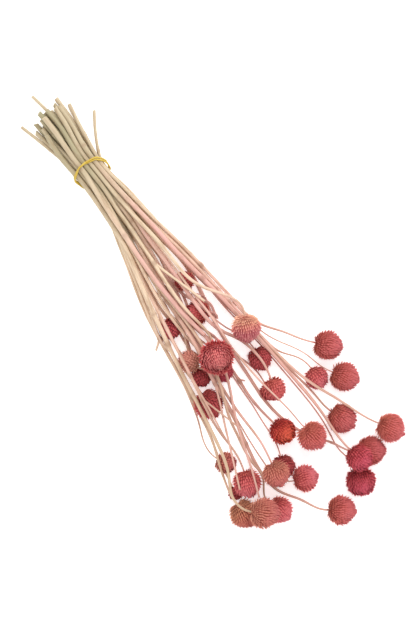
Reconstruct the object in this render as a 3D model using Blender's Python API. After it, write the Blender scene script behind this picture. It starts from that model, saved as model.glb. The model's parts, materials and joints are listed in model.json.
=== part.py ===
"""A tied bunch of dried globe amaranth that lies on a flat surface.

The bunch is laid out in millimetres. Along is its length, from the cut ends (minus) past the tie at 0 to
the flower heads (plus). Across is level and square to it, and up is the height above the surface. The stems
and heads start where the real ones lie, seen from above, and then settle until none cuts another.
"""
import math
from dataclasses import dataclass

import bmesh
import bpy
import numpy as np
from mathutils import Vector

MM = 0.001

# The tie.
TIE_ACROSS = -4.0
TIE_HIGH = 8.5
TIE_NUDGE = 0.4
TIE_STEPS = 1600
TIE_EASE = 1300
TIE_PULL = (0.010, 0.026)
TIE_PUSH = 0.3
BAND_THICK = 1.4
BAND_SPREAD = 1.75
BAND_LOW = 12.0
BAND_LEAN = 20.0
BAND_SWITCH = 3.0
BAND_SLOPE_ROOM = 1.04
BAND_STEPS = 34
BAND_SIDES = 5
BAND_CROSSING = 0.79
OUTLINE_STEPS = 720
OUTLINE_PASSES = 6

# Gaps that the pieces keep from each other.
GAP = 0.34
BAND_GAP = 0.45
SEAT_GAP = 0.3

# Stems.
STEM_SIDES = 6
TIP_THIN = 0.38
TAPER_POWER = 1.5
BROKEN_TAPER = 0.0016
BRANCH_THIN = 0.37
CUT_THICK = 1.04
JOINT_SWELL = 1.22
BROKEN_THIN = 0.95
TWIG_THIN = 0.62
TWIG_TAPER = 0.85
TWIG_PITCH = 18.0
BRANCH_TAPER = 0.8
BRANCH_MOST = 1.7
CUT_LIFT = 0.25
CUT_POINTS = 3
RUN_POINTS = 14
CROWDING = 1.35
FINE_STEPS = 400
BRANCH_CROWDING = 1.15
BRANCH_PITCH = 13.0
BRANCH_POINTS = 5
TWIG_POINTS = 3

# Heads. A share is of the head's own outer radius.
CORE_SHARE = 0.89
BRACT_RISE = 0.11
BRACT_REACH = 0.62
BASE_FLAT = 0.99
TIP_LONG = 1.0
BASE_ANGLE = math.radians(27.0)
TIP_ANGLE = math.radians(11.0)
BASE_FULLNESS = 0.96
TIP_FULLNESS = 1.16
SEAT_SHARE = 0.42
DIMPLE_ROOM = 0.8
BRACT_LEAST = 0.75
CROWN_RISE = 1.02
SMALL_HEAD = 19.0
SMALL_CELLS = (9, 6)
LARGE_CELLS = (10, 7)
LEAD_IN = 13.0

# Settling.
SETTLE_STEPS = 420
CLEAR_STEPS = 400
SINK = 0.035
STIFF = 0.35
HOME = 0.985
UPRIGHT_PUSH = 2.2
SETTLE_PUSHES = 2
SETTLE_STRENGTH = 1.2
CLEAR_STRENGTH = 1.4
SETTLE_RENEW = 10
CLEAR_RENEW = 20
LEAST_LEVER = 0.3
MOST_PUSH = 1.5
TINY = 1e-6
NO_ORDER = -9
LEAD_PIECES = 4
FORK_PIECES = 3
NEAR = 5.0
SEED = 11

# Colours.
STRAW = (0.62, 0.48, 0.30)
PINK = (0.66, 0.38, 0.30)
BAND_COLOR = (0.70, 0.46, 0.03)
STEM_ROUGHNESS = 0.7
HEAD_ROUGHNESS = 0.8
BAND_ROUGHNESS = 0.45
TONES = {
    "dusty": (0.50, 0.13, 0.11),
    "rose": (0.52, 0.12, 0.15),
    "magenta": (0.48, 0.06, 0.12),
    "crimson": (0.28, 0.03, 0.05),
    "coral": (0.60, 0.14, 0.10),
    "scarlet": (0.50, 0.06, 0.04),
    "peach": (0.62, 0.24, 0.15),
    "faded": (0.48, 0.20, 0.12),
    "muted": (0.45, 0.14, 0.11),
}
SHARP = math.radians(30.0)


@dataclass(frozen=True)
class Flower:
    """A head: its middle seen from above, its width, where it points and what its stem passes."""
    along: float
    across: float
    width: float
    turn: float
    tilt: float = 0.0
    rise: float = 0.0
    via: tuple = ()
    tone: str = "dusty"


@dataclass(frozen=True)
class Twig:
    """A short broken side twig: where it leaves its stem, how long it is and where it points."""
    along: float
    length: float
    turn: float
    tilt: float = 0.0


@dataclass(frozen=True)
class Stem:
    """A stem: its thickness at the tie, its cut end, its place in the tie and what it carries.

    The second flower stands on a side branch that leaves the stem at fork, measured along the bunch. A broken
    stem carries nothing and passes the points along, across and up that are given, to its broken end.
    """
    girth: float
    cut: tuple
    slot: tuple
    flowers: tuple
    fork: float = 0.0
    twigs: tuple = ()
    broken: tuple = ()


STEMS = (
    Stem(3.4, (-57, 16), (10, 0.95), (
        Flower(240.5, 62.6, 24.8, 40, 4, 0, ((60, 11.5), (100, 16.8), (165, 22), (190, 27), (203, 36)),
               "dusty"),
        Flower(270.2, 57.4, 24.8, 30, 0, 0, ((165, 22), (199, 26.5), (215, 33.5), (234, 43)), "dusty")),
         fork=128),
    Stem(3.8, (-68, 10), (10, 0.25), (
        Flower(328, 61.5, 24.8, 29, 0, 0, ((60, 10), (100, 14.8), (160, 19.8), (202, 23), (248, 30.5),
               (288, 44)), "dusty"),),
         twigs=(Twig(158, 12, 24, 8),)),
    Stem(3.6, (-61, 4), (4, 0.95), (
        Flower(185.5, 17.8, 24.4, -28, -24, 14, ((50, 1.2), (94, 4.3), (133, 8.5)), "peach"),)),
    Stem(2.5, (-39.5, 29.5), (13, 0.55), (
        Flower(256.6, 38.2, 19.6, -8, 4, 0, ((60, 12.5), (110, 17), (165, 21), (205, 24.5),
               (222, 29), (238, 39)), "rose"),)),
    Stem(3.7, (-64, 3.5), (7, 0.4), (
        Flower(296.5, 34.8, 24.8, 17, 3, 0, ((60, 6.5), (110, 11), (200, 21), (250, 27), (270, 29)),
               "dusty"),)),
    Stem(4, (-60, 8), (7, 0.75), (
        Flower(332, 27, 22.6, 12, 16, 24, ((60, 8.8), (110, 12.5), (150, 17), (200, 20.5), (250, 23.8),
               (292, 24)), "magenta"),
        Flower(349.5, 13.8, 25, -16, 24, 0, ((150, 14), (200, 17.5), (250, 20.3), (297, 19), (322, 16.5)),
               "rose")),
         fork=118),
    Stem(3.8, (-60, -1), (4, 0.2), (
        Flower(334, 36.4, 24.2, 52, 0, 0, ((60, 3), (110, 4), (180, -3), (240, -6.3), (268, -5),
               (290, 3), (304, 11), (315, 18.5)), "dusty"),)),
    Stem(2.5, (-82, -4.3), (3, 0.45), (
        Flower(292.8, 5.2, 24.6, 4, -8, 10, ((60, 1), (110, 0), (180, -2.5, 26), (235, 0, 35),
               (262, 3.5, 33)), "dusty"),)),
    Stem(4, (-62, -1), (2, 0.7), (
        Flower(241, 4.3, 19.6, -22, 5, 15.5, ((60, -1), (120, -1.5), (172, -0.5), (191, 8.5), (205, 11.2),
               (224, 10.3)), "coral"),
        Flower(213.6, 12.4, 20.6, -8, 15, 0, ((174, 4), (192, 11.5)), "crimson")),
         fork=132),
    Stem(4.4, (-60, -8), (-7, 1.0), (), broken=((60, -15, 24), (120, -18, 30), (169, -14, 33))),
    Stem(3.4, (-58, -6), (0, 0.05), (
        Flower(150.5, -9, 20.4, -137, 0, 5, ((90, -3), (150, -2), (166, 1), (167, -4)), "coral"),
        Flower(122.5, 0, 16.8, 168, 0, 0, ((149, 3), (142, 6)), "coral")),
         fork=144),
    Stem(3.2, (-63, -5), (0, 0.1), (
        Flower(241, -1, 16, -10, 0, 0, ((60, -3), (100, -3), (190, -5.5)), "crimson"),)),
    Stem(4, (-66, -10), (-2, 0.6), (
        Flower(274.3, -11.4, 22, 12, 30, 2, ((60, -6), (110, -7.5), (160, -10), (216, -13.5),
               (240, -15.5), (254, -14.5)), "scarlet"),
        Flower(299.5, -29.5, 20, -20, 0, 0, ((190, -13.5), (216, -16), (240, -17.5), (262, -20),
               (280, -22)), "crimson")),
         fork=160, twigs=(Twig(212, 6, 28, 20),)),
    Stem(4.2, (-64, -3), (-3, 0.92), (
        Flower(190.8, -20.8, 28.4, -25, 44, 16, ((50, -8), (91, -11, 19), (150, -15, 21)), "rose"),),
         twigs=(Twig(91, 56, 14, 6),)),
    Stem(3.3, (-52, -11), (-4, 0.15), (
        Flower(202.3, -23, 18.4, -20, 0, 0, ((60, -11), (100, -13.5), (170, -20)), "magenta"),)),
    Stem(3.3, (-57, -9), (-6, 0.05), (
        Flower(149.5, -30.5, 17.6, -20, 0, 0, ((60, -15), (110, -25)), "crimson"),)),
    Stem(3.5, (-44, -11), (-6, 0.75), (
        Flower(180, -37.2, 19, -160, 15, 9, ((60, -16), (90, -21), (150, -27), (187.5, -27),
               (195.5, -31)), "faded"),)),
    Stem(3.5, (-61, -17), (-8, 0.3), (
        Flower(194.5, -38, 17.6, -20, 0, 0, ((60, -17), (90, -23), (150, -32)), "crimson"),)),
    Stem(2.5, (-67, -28), (-12, 0.35), (
        Flower(217, -44.5, 25, -10, 0, 0, ((60, -20), (100, -29), (170, -41)), "crimson"),),
         twigs=(Twig(120, 88, -14, 2),)),
    Stem(3.9, (-61, -8), (-7, 0.5), (
        Flower(358, -14.5, 24.8, 48, 0, 0, ((60, -15), (120, -22.5), (215, -34, 25), (262, -43),
               (300, -48.5), (322, -42), (336, -32.5)), "dusty"),
        Flower(315.7, -22, 22.4, 70, 6, 10, ((200, -31), (250, -38), (290, -41), (306, -38.5)), "rose")),
         fork=146, twigs=(Twig(201, 92, -24, 0),)),
    Stem(3.7, (-58, -10), (-4, 0.5), (
        Flower(298.7, -38, 22.6, -14, 8, 18.5, ((60, -12.5), (120, -18, 12), (200, -26.5, 13),
               (240, -31, 18), (272, -32)), "muted"),),
         twigs=(Twig(105, 78, -15, 0),)),
    Stem(3.6, (-54, -12), (-7, 0.85), (
        Flower(325, -56.2, 22.6, 8, 0, 0, ((60, -14), (120, -20), (203, -29, 24), (229, -39.5, 24),
               (250, -45), (284, -50), (302, -54)), "rose"),),
         twigs=(Twig(108, 84, -13, 0),)),
    Stem(3.6, (-55, -21), (-10, 0.6), (
        Flower(289.8, -62, 24.2, -24, 14, 3, ((60, -19), (110, -29), (205, -47.5, 27), (245, -54),
               (268, -55)), "magenta"),),
         twigs=(Twig(208, 40, 13, 12), Twig(98, 95, -10, 0), Twig(183, 66, -9.5, 4))),
    Stem(4, (-47, -14), (-12, 0.85), (
        Flower(318.5, -66.5, 25.8, 46, 0, 23, ((60, -19), (110, -31), (198, -50, 26), (240, -59),
               (276, -70.5), (301, -80)), "muted"),
        Flower(292.5, -75.3, 12, -20, 0, 0, ((200, -50.5), (250, -64), (276, -71)), "crimson")),
         fork=150),
    Stem(3.7, (-60, -12), (-11, 0.35), (
        Flower(309, -79.8, 24.4, -3, 0, 0, ((60, -22), (100, -33.5), (140, -44), (200, -53), (240, -61),
               (262, -69, 21), (282, -76.5)), "faded"),),
         twigs=(Twig(146, 11, -58, 3),)),
    Stem(2.6, (-56, -14), (-13, 0.15), (
        Flower(266, -68.3, 18.2, 30, 0, 0, ((60, -23), (100, -36), (140, -46), (180, -52),
               (207, -58.5), (232, -67.5), (248, -73)), "muted"),)),
    Stem(3.4, (-55, -3), (-2, 0.4), (),
         broken=((60, -8, 12), (130, -12, 14), (201, -16.5, 16), (243, -37, 21), (276, -50, 28),
                 (306, -63, 27))),
)


@dataclass
class Strand:
    """A stem, branch or twig as a chain of points, which ends at its head's middle if it has a head."""
    points: np.ndarray
    radius: np.ndarray
    stem: int
    head: float = 0.0
    parent: int = -1
    fork: int = -1

    @property
    def body(self):
        """How many of the points belong to the stem itself, without the head's middle."""
        return len(self.points) - (1 if self.head else 0)


def unit(vector):
    """Return the vector at length 1."""
    return vector / np.linalg.norm(vector)


def heading(turn, tilt):
    """Return the direction at turn degrees from the bunch's length and tilt degrees above the level."""
    turn, tilt = math.radians(turn), math.radians(tilt)
    return np.array((math.cos(turn) * math.cos(tilt), math.sin(turn) * math.cos(tilt), math.sin(tilt)))


def smooth_line(knots, count, crowding=1.0):
    """Return count points on the natural cubic spline through the knots, closer towards its end."""
    knots = np.asarray(knots, float)
    chord = np.linalg.norm(np.diff(knots, axis=0), axis=1)
    at = np.concatenate(((0.0,), np.cumsum(chord)))
    size = len(knots)
    system = np.eye(size)
    bend = np.zeros_like(knots)
    slope = np.diff(knots, axis=0) / chord[:, None]
    for i in range(1, size - 1):
        system[i, i - 1:i + 2] = chord[i - 1], 2 * (chord[i - 1] + chord[i]), chord[i]
        bend[i] = 6 * (slope[i] - slope[i - 1])
    bend = np.linalg.solve(system, bend)
    fine = np.linspace(0, at[-1], FINE_STEPS)
    cell = np.clip(np.searchsorted(at, fine) - 1, 0, size - 2)
    width = chord[cell][:, None]
    left = (at[cell + 1] - fine)[:, None] / width
    right = 1 - left
    line = left * knots[cell] + right * knots[cell + 1]
    line += ((left ** 3 - left) * bend[cell] + (right ** 3 - right) * bend[cell + 1]) * width ** 2 / 6
    run = np.concatenate(((0.0,), np.cumsum(np.linalg.norm(np.diff(line, axis=0), axis=1))))
    want = run[-1] * (1 - (1 - np.linspace(0, 1, count)) ** crowding)
    return np.stack([np.interp(want, run, line[:, k]) for k in range(3)], axis=1)


def pack_tie():
    """Return each stem's place in the tie: round stems pressed together in an oval, none overlapping."""
    radius = np.array([stem.girth / 2 for stem in STEMS])
    spot = np.array([(stem.slot[0], (stem.slot[1] * 2 - 1) * TIE_HIGH) for stem in STEMS], float)
    draw = np.random.default_rng(SEED)
    spot += draw.uniform(-TIE_NUDGE, TIE_NUDGE, spot.shape)
    least = radius[:, None] + radius[None, :] + GAP
    itself = np.eye(len(spot)) * least.max()
    for step in range(TIE_STEPS):
        spot -= spot * TIE_PULL * max(0.0, 1 - step / TIE_EASE)
        apart = spot[:, None] - spot[None, :]
        distance = np.linalg.norm(apart, axis=2) + itself
        push = np.clip(least - distance, 0, None) * TIE_PUSH
        spot += (apart / distance[..., None] * push[..., None]).sum(axis=1)
    spot[:, 0] += TIE_ACROSS - spot[:, 0].mean()
    spot[:, 1] += BAND_THICK + BAND_GAP + GAP - (spot[:, 1] - radius).min()
    return spot


def cut_side(stem, spot):
    """Return the knots of a stem below the tie, from its cut end up to the tie."""
    radius = stem.girth / 2
    lift = max(radius * CUT_THICK, spot[1] + (spot[1] - TIE_HIGH) * CUT_LIFT)
    cut = np.array((stem.cut[0], stem.cut[1], lift))
    grip = np.array((0.0, spot[0], spot[1]))
    return cut, grip


def reach_head(flower, start):
    """Return the knots of a stem from start to its head's base, and the head's middle.

    The stem rises evenly, apart from the way points that name their own height.
    """
    radius = flower.width / 2
    axis = heading(flower.turn, flower.tilt)
    middle = np.array((flower.along, flower.across, radius + flower.rise))
    base = middle - axis * (radius * SEAT_SHARE + SEAT_GAP)
    before = base - axis * LEAD_IN
    flat = [start[:2]] + [np.array(v[:2], float) for v in flower.via] + [before[:2]]
    run = np.cumsum([0.0] + [np.linalg.norm(b - a) for a, b in zip(flat, flat[1:])])
    knots = [start]
    for spot, gone in zip(flower.via, run[1:-1]):
        up = spot[2] if len(spot) > 2 else start[2] + (before[2] - start[2]) * gone / run[-1]
        knots.append(np.array((spot[0], spot[1], up)))
    if np.linalg.norm(before[:2] - flat[-2]) > LEAD_IN / 2:
        knots.append(before)
    return knots + [base], middle


def main_strand(number, stem, spot):
    """Return a stem from its cut end through the tie to its head, or to its broken end."""
    cut, grip = cut_side(stem, spot)
    if stem.flowers:
        knots, middle = reach_head(stem.flowers[0], grip)
    else:
        knots, middle = [grip] + [np.array(point, float) for point in stem.broken], None
    whole = smooth_line([cut] + knots, FINE_STEPS)
    at_tie = np.argmin(np.linalg.norm(whole - grip, axis=1))
    lower = whole[np.linspace(0, at_tie, CUT_POINTS + 1).astype(int)][:-1]
    upper = smooth_line(knots, RUN_POINTS, CROWDING if stem.flowers else 1.0)
    points = np.vstack((lower, upper))
    thick = stem.girth / 2
    last = TIP_THIN if stem.flowers else max(TIP_THIN, 1 - BROKEN_TAPER * upper[-1, 0])
    taper = 1 - (1 - last) * np.linspace(0, 1, len(upper)) ** TAPER_POWER
    radius = np.concatenate((np.full(len(lower), thick * CUT_THICK), thick * taper))
    if middle is None:
        return Strand(points, radius * BROKEN_THIN, number)
    return Strand(np.vstack((points, middle)), np.append(radius, 0.0), number,
                  head=stem.flowers[0].width / 2)


def nearest_point(strand, along):
    """Return the index of the stem's point nearest to a place along the bunch, past the tie."""
    first = CUT_POINTS + 1
    return first + int(np.argmin(np.abs(strand.points[first:strand.body - 2, 0] - along)))


def side_strands(number, stem, parent, main):
    """Return a stem's side branch and its broken twigs, each grown from one of the stem's points."""
    found = []
    if len(stem.flowers) > 1:
        fork = nearest_point(main, stem.fork)
        knots, middle = reach_head(stem.flowers[1], main.points[fork])
        length = sum(np.linalg.norm(b - a) for a, b in zip(knots, knots[1:]))
        count = max(BRANCH_POINTS, round(length / BRANCH_PITCH) + 1)
        points = smooth_line(knots, count, BRANCH_CROWDING)
        thick = min(stem.girth * BRANCH_THIN, main.radius[fork] * BRANCH_MOST) / 2
        radius = np.append(np.linspace(thick, thick * BRANCH_TAPER, count), 0.0)
        found.append(Strand(np.vstack((points, middle)), radius, number,
                            stem.flowers[1].width / 2, parent, fork))
    for twig in stem.twigs:
        fork = nearest_point(main, twig.along)
        root = main.points[fork]
        reach = heading(twig.turn, twig.tilt) * twig.length
        count = max(TWIG_POINTS, round(twig.length / TWIG_PITCH) + 1)
        points = root + np.linspace(0, 1, count)[:, None] * reach
        thick = main.radius[fork] * TWIG_THIN
        found.append(Strand(points, np.linspace(thick, thick * TWIG_TAPER, count), number, 0.0, parent, fork))
    for strand in found:
        main.radius[strand.fork] *= JOINT_SWELL
    return found


def lay_out():
    """Return every strand as it lies before it settles."""
    strands = []
    for number, (stem, spot) in enumerate(zip(STEMS, pack_tie())):
        main = main_strand(number, stem, spot)
        parent = len(strands)
        strands.append(main)
        strands.extend(side_strands(number, stem, parent, main))
    return strands


def closest(p0, p1, q0, q1):
    """Return how far along each pair of straight pieces their nearest points lie, from 0 to 1."""
    u, v, w = p1 - p0, q1 - q0, p0 - q0
    a, b, c = (u * u).sum(1), (u * v).sum(1), (v * v).sum(1)
    d, e = (u * w).sum(1), (v * w).sum(1)
    a, c = np.maximum(a, TINY), np.maximum(c, TINY)
    cross = a * c - b * b
    s = np.where(cross > TINY, np.clip((b * e - c * d) / np.maximum(cross, TINY), 0, 1), 0.0)
    t = (b * s + e) / c
    t_in = np.clip(t, 0, 1)
    s = np.where(t == t_in, s, np.clip((b * t_in - d) / a, 0, 1))
    return s, t_in


class Settling:
    """Lets the strands sink onto the surface and onto each other, as stiff dried stems do."""

    def __init__(self, strands):
        """Join the strands' points into one array and list the straight pieces and balls that may meet."""
        self.strands = strands
        self.start = np.cumsum([0] + [len(s.points) for s in strands])
        self.home = np.vstack([s.points for s in strands])
        self.point = self.home.copy()
        self.size = np.concatenate([s.radius for s in strands])
        self.free = np.ones(len(self.home))
        ends, radii, owner, order = [], [], [], []
        for i, strand in enumerate(strands):
            first = self.start[i]
            for k in range(strand.body - 1):
                ends.append((first + k, first + k + 1))
                radii.append((strand.radius[k], strand.radius[k + 1]))
                owner.append(i)
                order.append(k)
            if strand.head:
                last = first + strand.body
                ends.append((last, last))
                radii.append((strand.head, strand.head))
                owner.append(i)
                order.append(NO_ORDER)
                self.size[last] = strand.head
            if strand.parent < 0:
                self.free[first + CUT_POINTS] = 0.0
        self.ends, self.radii = np.array(ends), np.array(radii)
        self.allowed = self.may_meet(np.array(owner), np.array(order))

    def may_meet(self, owner, order):
        """Return which pairs can touch.

        Two straight pieces of one strand can't, nor can a branch's root and its stem near the fork. A head
        can touch its own stem where the stem bends back, away from the last pieces that lead into it.
        """
        allowed = np.triu(owner[:, None] != owner[None, :], 1)
        for i, strand in enumerate(self.strands):
            early = np.flatnonzero((owner == i) & (order >= 0) & (order < strand.body - LEAD_PIECES))
            allowed[np.ix_(early, np.flatnonzero((owner == i) & (order == NO_ORDER)))] = True
            if strand.parent < 0:
                continue
            root = np.flatnonzero((owner == i) & (order >= 0) & (order <= 1))
            from_fork = np.abs(order - strand.fork + 0.5)
            near = np.flatnonzero((owner == strand.parent) & (from_fork < FORK_PIECES))
            allowed[np.ix_(root, near)] = False
            allowed[np.ix_(near, root)] = False
        return allowed

    def near_pairs(self, margin):
        """Return the pairs that lie within margin of each other, judged by the balls round them."""
        p, q = self.point[self.ends[:, 0]], self.point[self.ends[:, 1]]
        middle, reach = (p + q) / 2, np.linalg.norm(q - p, axis=1) / 2 + self.radii.max(axis=1)
        far = np.linalg.norm(middle[:, None] - middle[None, :], axis=2)
        return np.nonzero(self.allowed & (far < reach[:, None] + reach[None, :] + margin))

    def measure(self, pairs):
        """Return the pairs' shares, the step between their nearest points, and their clearance."""
        (i, j), ends = pairs, self.ends
        p0, p1 = self.point[ends[i, 0]], self.point[ends[i, 1]]
        q0, q1 = self.point[ends[j, 0]], self.point[ends[j, 1]]
        s, t = closest(p0, p1, q0, q1)
        step = (p0 + (p1 - p0) * s[:, None]) - (q0 + (q1 - q0) * t[:, None])
        thick = (self.radii[i, 0] * (1 - s) + self.radii[i, 1] * s
                 + self.radii[j, 0] * (1 - t) + self.radii[j, 1] * t)
        return s, t, step, np.linalg.norm(step, axis=1) - thick

    def push_apart(self, pairs, upright, strength):
        """Move each pair that is too close apart, mostly upward and downward where upright is large."""
        s, t, step, clear = self.measure(pairs)
        hit = clear < GAP
        if not hit.any():
            return
        i, j, s, t = pairs[0][hit], pairs[1][hit], s[hit], t[hit]
        step, short = step[hit], GAP - clear[hit]
        distance = np.maximum(np.linalg.norm(step, axis=1), TINY)
        normal = step / distance[:, None]
        way = normal * np.array((1.0, 1.0, upright))
        way /= np.maximum(np.linalg.norm(way, axis=1), TINY)[:, None]
        push = np.minimum(short / np.maximum((way * normal).sum(1), LEAST_LEVER), MOST_PUSH)
        share = np.stack((1 - s, s, 1 - t, t), axis=1)
        sign = np.array((1.0, 1.0, -1.0, -1.0))
        index = np.stack((self.ends[i, 0], self.ends[i, 1], self.ends[j, 0], self.ends[j, 1]), axis=1)
        give = share * self.free[index]
        total = np.maximum((give * share).sum(1), TINY)
        move = (give * sign * (push / total)[:, None])[..., None] * way[:, None, :]
        sums = np.zeros_like(self.point)
        count = np.zeros(len(self.point))
        np.add.at(sums, index.ravel(), move.reshape(-1, 3))
        np.add.at(count, index.ravel(), give.ravel() > TINY)
        self.point += sums / np.maximum(count, 1.0)[:, None] * strength
        self.join_roots()

    def join_roots(self):
        """Keep the surface under everything, and each side branch's root on its stem."""
        self.point[:, 2] = np.maximum(self.point[:, 2], self.size)
        for i, strand in enumerate(self.strands):
            if strand.parent >= 0:
                self.point[self.start[i]] = self.point[self.start[strand.parent] + strand.fork]

    def relax(self):
        """Sink a little, spread each shift along its strand, and drift back to the places seen from above."""
        shift = self.point - self.home
        shift[:, 2] -= SINK * self.free
        shift[:, :2] *= HOME
        for i, strand in enumerate(self.strands):
            part = shift[self.start[i]:self.start[i + 1]]
            free = self.free[self.start[i] + 1:self.start[i + 1] - 1, None]
            part[1:-1] += ((part[:-2] + part[2:]) / 2 - part[1:-1]) * STIFF * free
            if strand.head:
                part[-1] += (part[-2] - part[-1]) * STIFF
        self.point = self.home + shift
        self.join_roots()

    def run(self):
        """Settle, then clear what still touches, and return each strand's points."""
        for step in range(SETTLE_STEPS):
            if step % SETTLE_RENEW == 0:
                pairs = self.near_pairs(NEAR)
            self.relax()
            for _ in range(SETTLE_PUSHES):
                self.push_apart(pairs, UPRIGHT_PUSH, SETTLE_STRENGTH)
        for step in range(CLEAR_STEPS):
            if step % CLEAR_RENEW == 0:
                pairs = self.near_pairs(NEAR)
            self.push_apart(pairs, 1.0, CLEAR_STRENGTH)
        self.point = np.round(self.point, 2)
        self.join_roots()
        return [self.point[a:b] for a, b in zip(self.start, self.start[1:])]


def tube_rings(points, radius, sides):
    """Return the rings of a tube round a line of points, with each ring square to the line there."""
    ahead = np.gradient(points, axis=0)
    ahead /= np.linalg.norm(ahead, axis=1)[:, None]
    side = np.cross(ahead, (0.0, 0.0, 1.0))
    side /= np.linalg.norm(side, axis=1)[:, None]
    up = np.cross(side, ahead)
    turn = (np.arange(sides) + 0.5) * math.tau / sides
    reach = np.cos(turn)[None, :, None] * up[:, None] + np.sin(turn)[None, :, None] * side[:, None]
    return points[:, None] + reach * np.asarray(radius)[:, None, None]


def ring_faces(rings, sides, closed=False):
    """Return the four-sided faces between neighbouring rings of a tube."""
    faces = []
    for i in range(rings if closed else rings - 1):
        low, high = i * sides, (i + 1) % rings * sides
        for k in range(sides):
            after = (k + 1) % sides
            faces.append((low + k, low + after, high + after, high + k))
    return faces


def new_mesh(name, spots, faces):
    """Return a mesh from millimetre points, with its faces turned outwards."""
    mesh = bpy.data.meshes.new(name)
    mesh.from_pydata((np.asarray(spots).reshape(-1, 3) * MM).tolist(), [], faces)
    work = bmesh.new()
    work.from_mesh(mesh)
    bmesh.ops.recalc_face_normals(work, faces=work.faces)
    work.to_mesh(mesh)
    work.free()
    mesh.shade_smooth()
    mesh.set_sharp_from_angle(angle=SHARP)
    return mesh


def tube_mesh(name, points, radius):
    """Return a closed stem with flat ends."""
    rings = tube_rings(points, radius, STEM_SIDES)
    faces = ring_faces(len(rings), STEM_SIDES)
    last = (len(rings) - 1) * STEM_SIDES
    faces.append(tuple(reversed(range(STEM_SIDES))))
    faces.append(tuple(range(last, last + STEM_SIDES)))
    return new_mesh(name, rings, faces)


def head_outline(angle, out):
    """Return the girth and height of a head at an angle from its base: full behind, narrowing to the tip."""
    behind = angle < math.pi / 2
    girth = out * math.sin(angle) ** (BASE_FULLNESS if behind else TIP_FULLNESS)
    return girth, -out * math.cos(angle) * (BASE_FLAT if behind else TIP_LONG)


def head_mesh(name, width, stem_radius, draw):
    """Return a head whose tip is at +Z: staggered rings of points, and a raised bract in each cell.

    The rings run from the flat base round the globe to the tip. Four neighbouring points, one below, one
    above and two beside, bound a cell, and the cell's bract is a pyramid that leans towards the tip.
    """
    around, levels = SMALL_CELLS if width < SMALL_HEAD else LARGE_CELLS
    reach = width / 2
    core = reach * CORE_SHARE
    step = math.tau / around
    angle = np.linspace(BASE_ANGLE, math.pi - TIP_ANGLE, levels + 1)
    outline = [head_outline(a, core) for a in angle]
    turn = draw.uniform(0, math.tau)
    spots, faces = [], []
    for i in range(levels + 1):
        for k in range(around):
            at = turn + (k + (i % 2) / 2) * step
            girth, height = outline[i]
            spots.append((girth * math.cos(at), girth * math.sin(at), height))

    def beside(i, k):
        """Return the two points of ring i + 1 on either side of point k of ring i."""
        row = (i + 1) * around
        return row + (k + i % 2 - 1) % around, row + (k + i % 2) % around

    for i in range(levels - 1):
        tilt = angle[i + 1] + BRACT_REACH * (angle[i + 2] - angle[i + 1])
        for k in range(around):
            before, after = beside(i, k)
            top = (i + 2) * around + k
            at = turn + (k + (i % 2) / 2) * step
            out = core + reach * BRACT_RISE * draw.uniform(BRACT_LEAST, 1.0)
            girth, height = head_outline(tilt, out)
            spots.append((girth * math.cos(at), girth * math.sin(at), height))
            tip = len(spots) - 1
            low = i * around + k
            faces += [(low, after, tip), (after, top, tip), (top, before, tip), (before, low, tip)]
    for k in range(around):
        faces.append((k, (k + 1) % around, beside(0, k)[1]))
        high = (levels - 1) * around
        left, right = beside(levels - 1, k)
        faces.append((high + k, right, left))
    last = levels * around
    spots.append((0.0, 0.0, core * TIP_LONG * CROWN_RISE))
    crown = len(spots) - 1
    for k in range(around):
        faces.append((last + k, last + (k + 1) % around, crown))
    dimple = len(spots)
    mouth = stem_radius + DIMPLE_ROOM
    for k in range(around):
        at = turn + k * step
        spots.append((mouth * math.cos(at), mouth * math.sin(at), -reach * SEAT_SHARE))
    spots.append((0.0, 0.0, -reach * SEAT_SHARE))
    floor = len(spots) - 1
    for k in range(around):
        after = (k + 1) % around
        low, high = dimple + k, dimple + after
        faces += [(k, low, high), (k, high, after), (low, floor, high)]
    return new_mesh(name, spots, faces)


def tie_outline(mains):
    """Return the closed line of a band pulled tight round the stems, and its outward directions.

    At each direction round the bunch the band touches the stem that reaches furthest that way. The band
    leans, so the stems are read where its height there puts it along the bunch.
    """
    way = np.arange(OUTLINE_STEPS) * math.tau / OUTLINE_STEPS
    out = np.stack((np.cos(way), np.sin(way)), axis=1)
    along = np.zeros(len(way))
    for _ in range(OUTLINE_PASSES):
        across = np.stack([np.interp(along, p[:, 0], p[:, 1]) for p, _ in mains], axis=1)
        up = np.stack([np.interp(along, p[:, 0], p[:, 2]) for p, _ in mains], axis=1)
        thick = np.array([r[CUT_POINTS] for _, r in mains]) * BAND_SLOPE_ROOM
        reach = across * out[:, :1] + up * out[:, 1:] + thick
        best = reach.argmax(axis=1)
        pick = np.arange(len(way)), best
        stand_off = thick[best] + BAND_GAP + BAND_THICK / 2
        line = np.stack((across[pick], up[pick]), axis=1) + out * stand_off[:, None]
        share = (line[:, 1] - line[:, 1].min()) / np.ptp(line[:, 1])
        along = BAND_LOW - BAND_LEAN * share
    return np.column_stack((along, line)), np.column_stack((np.zeros(len(way)), out))


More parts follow.
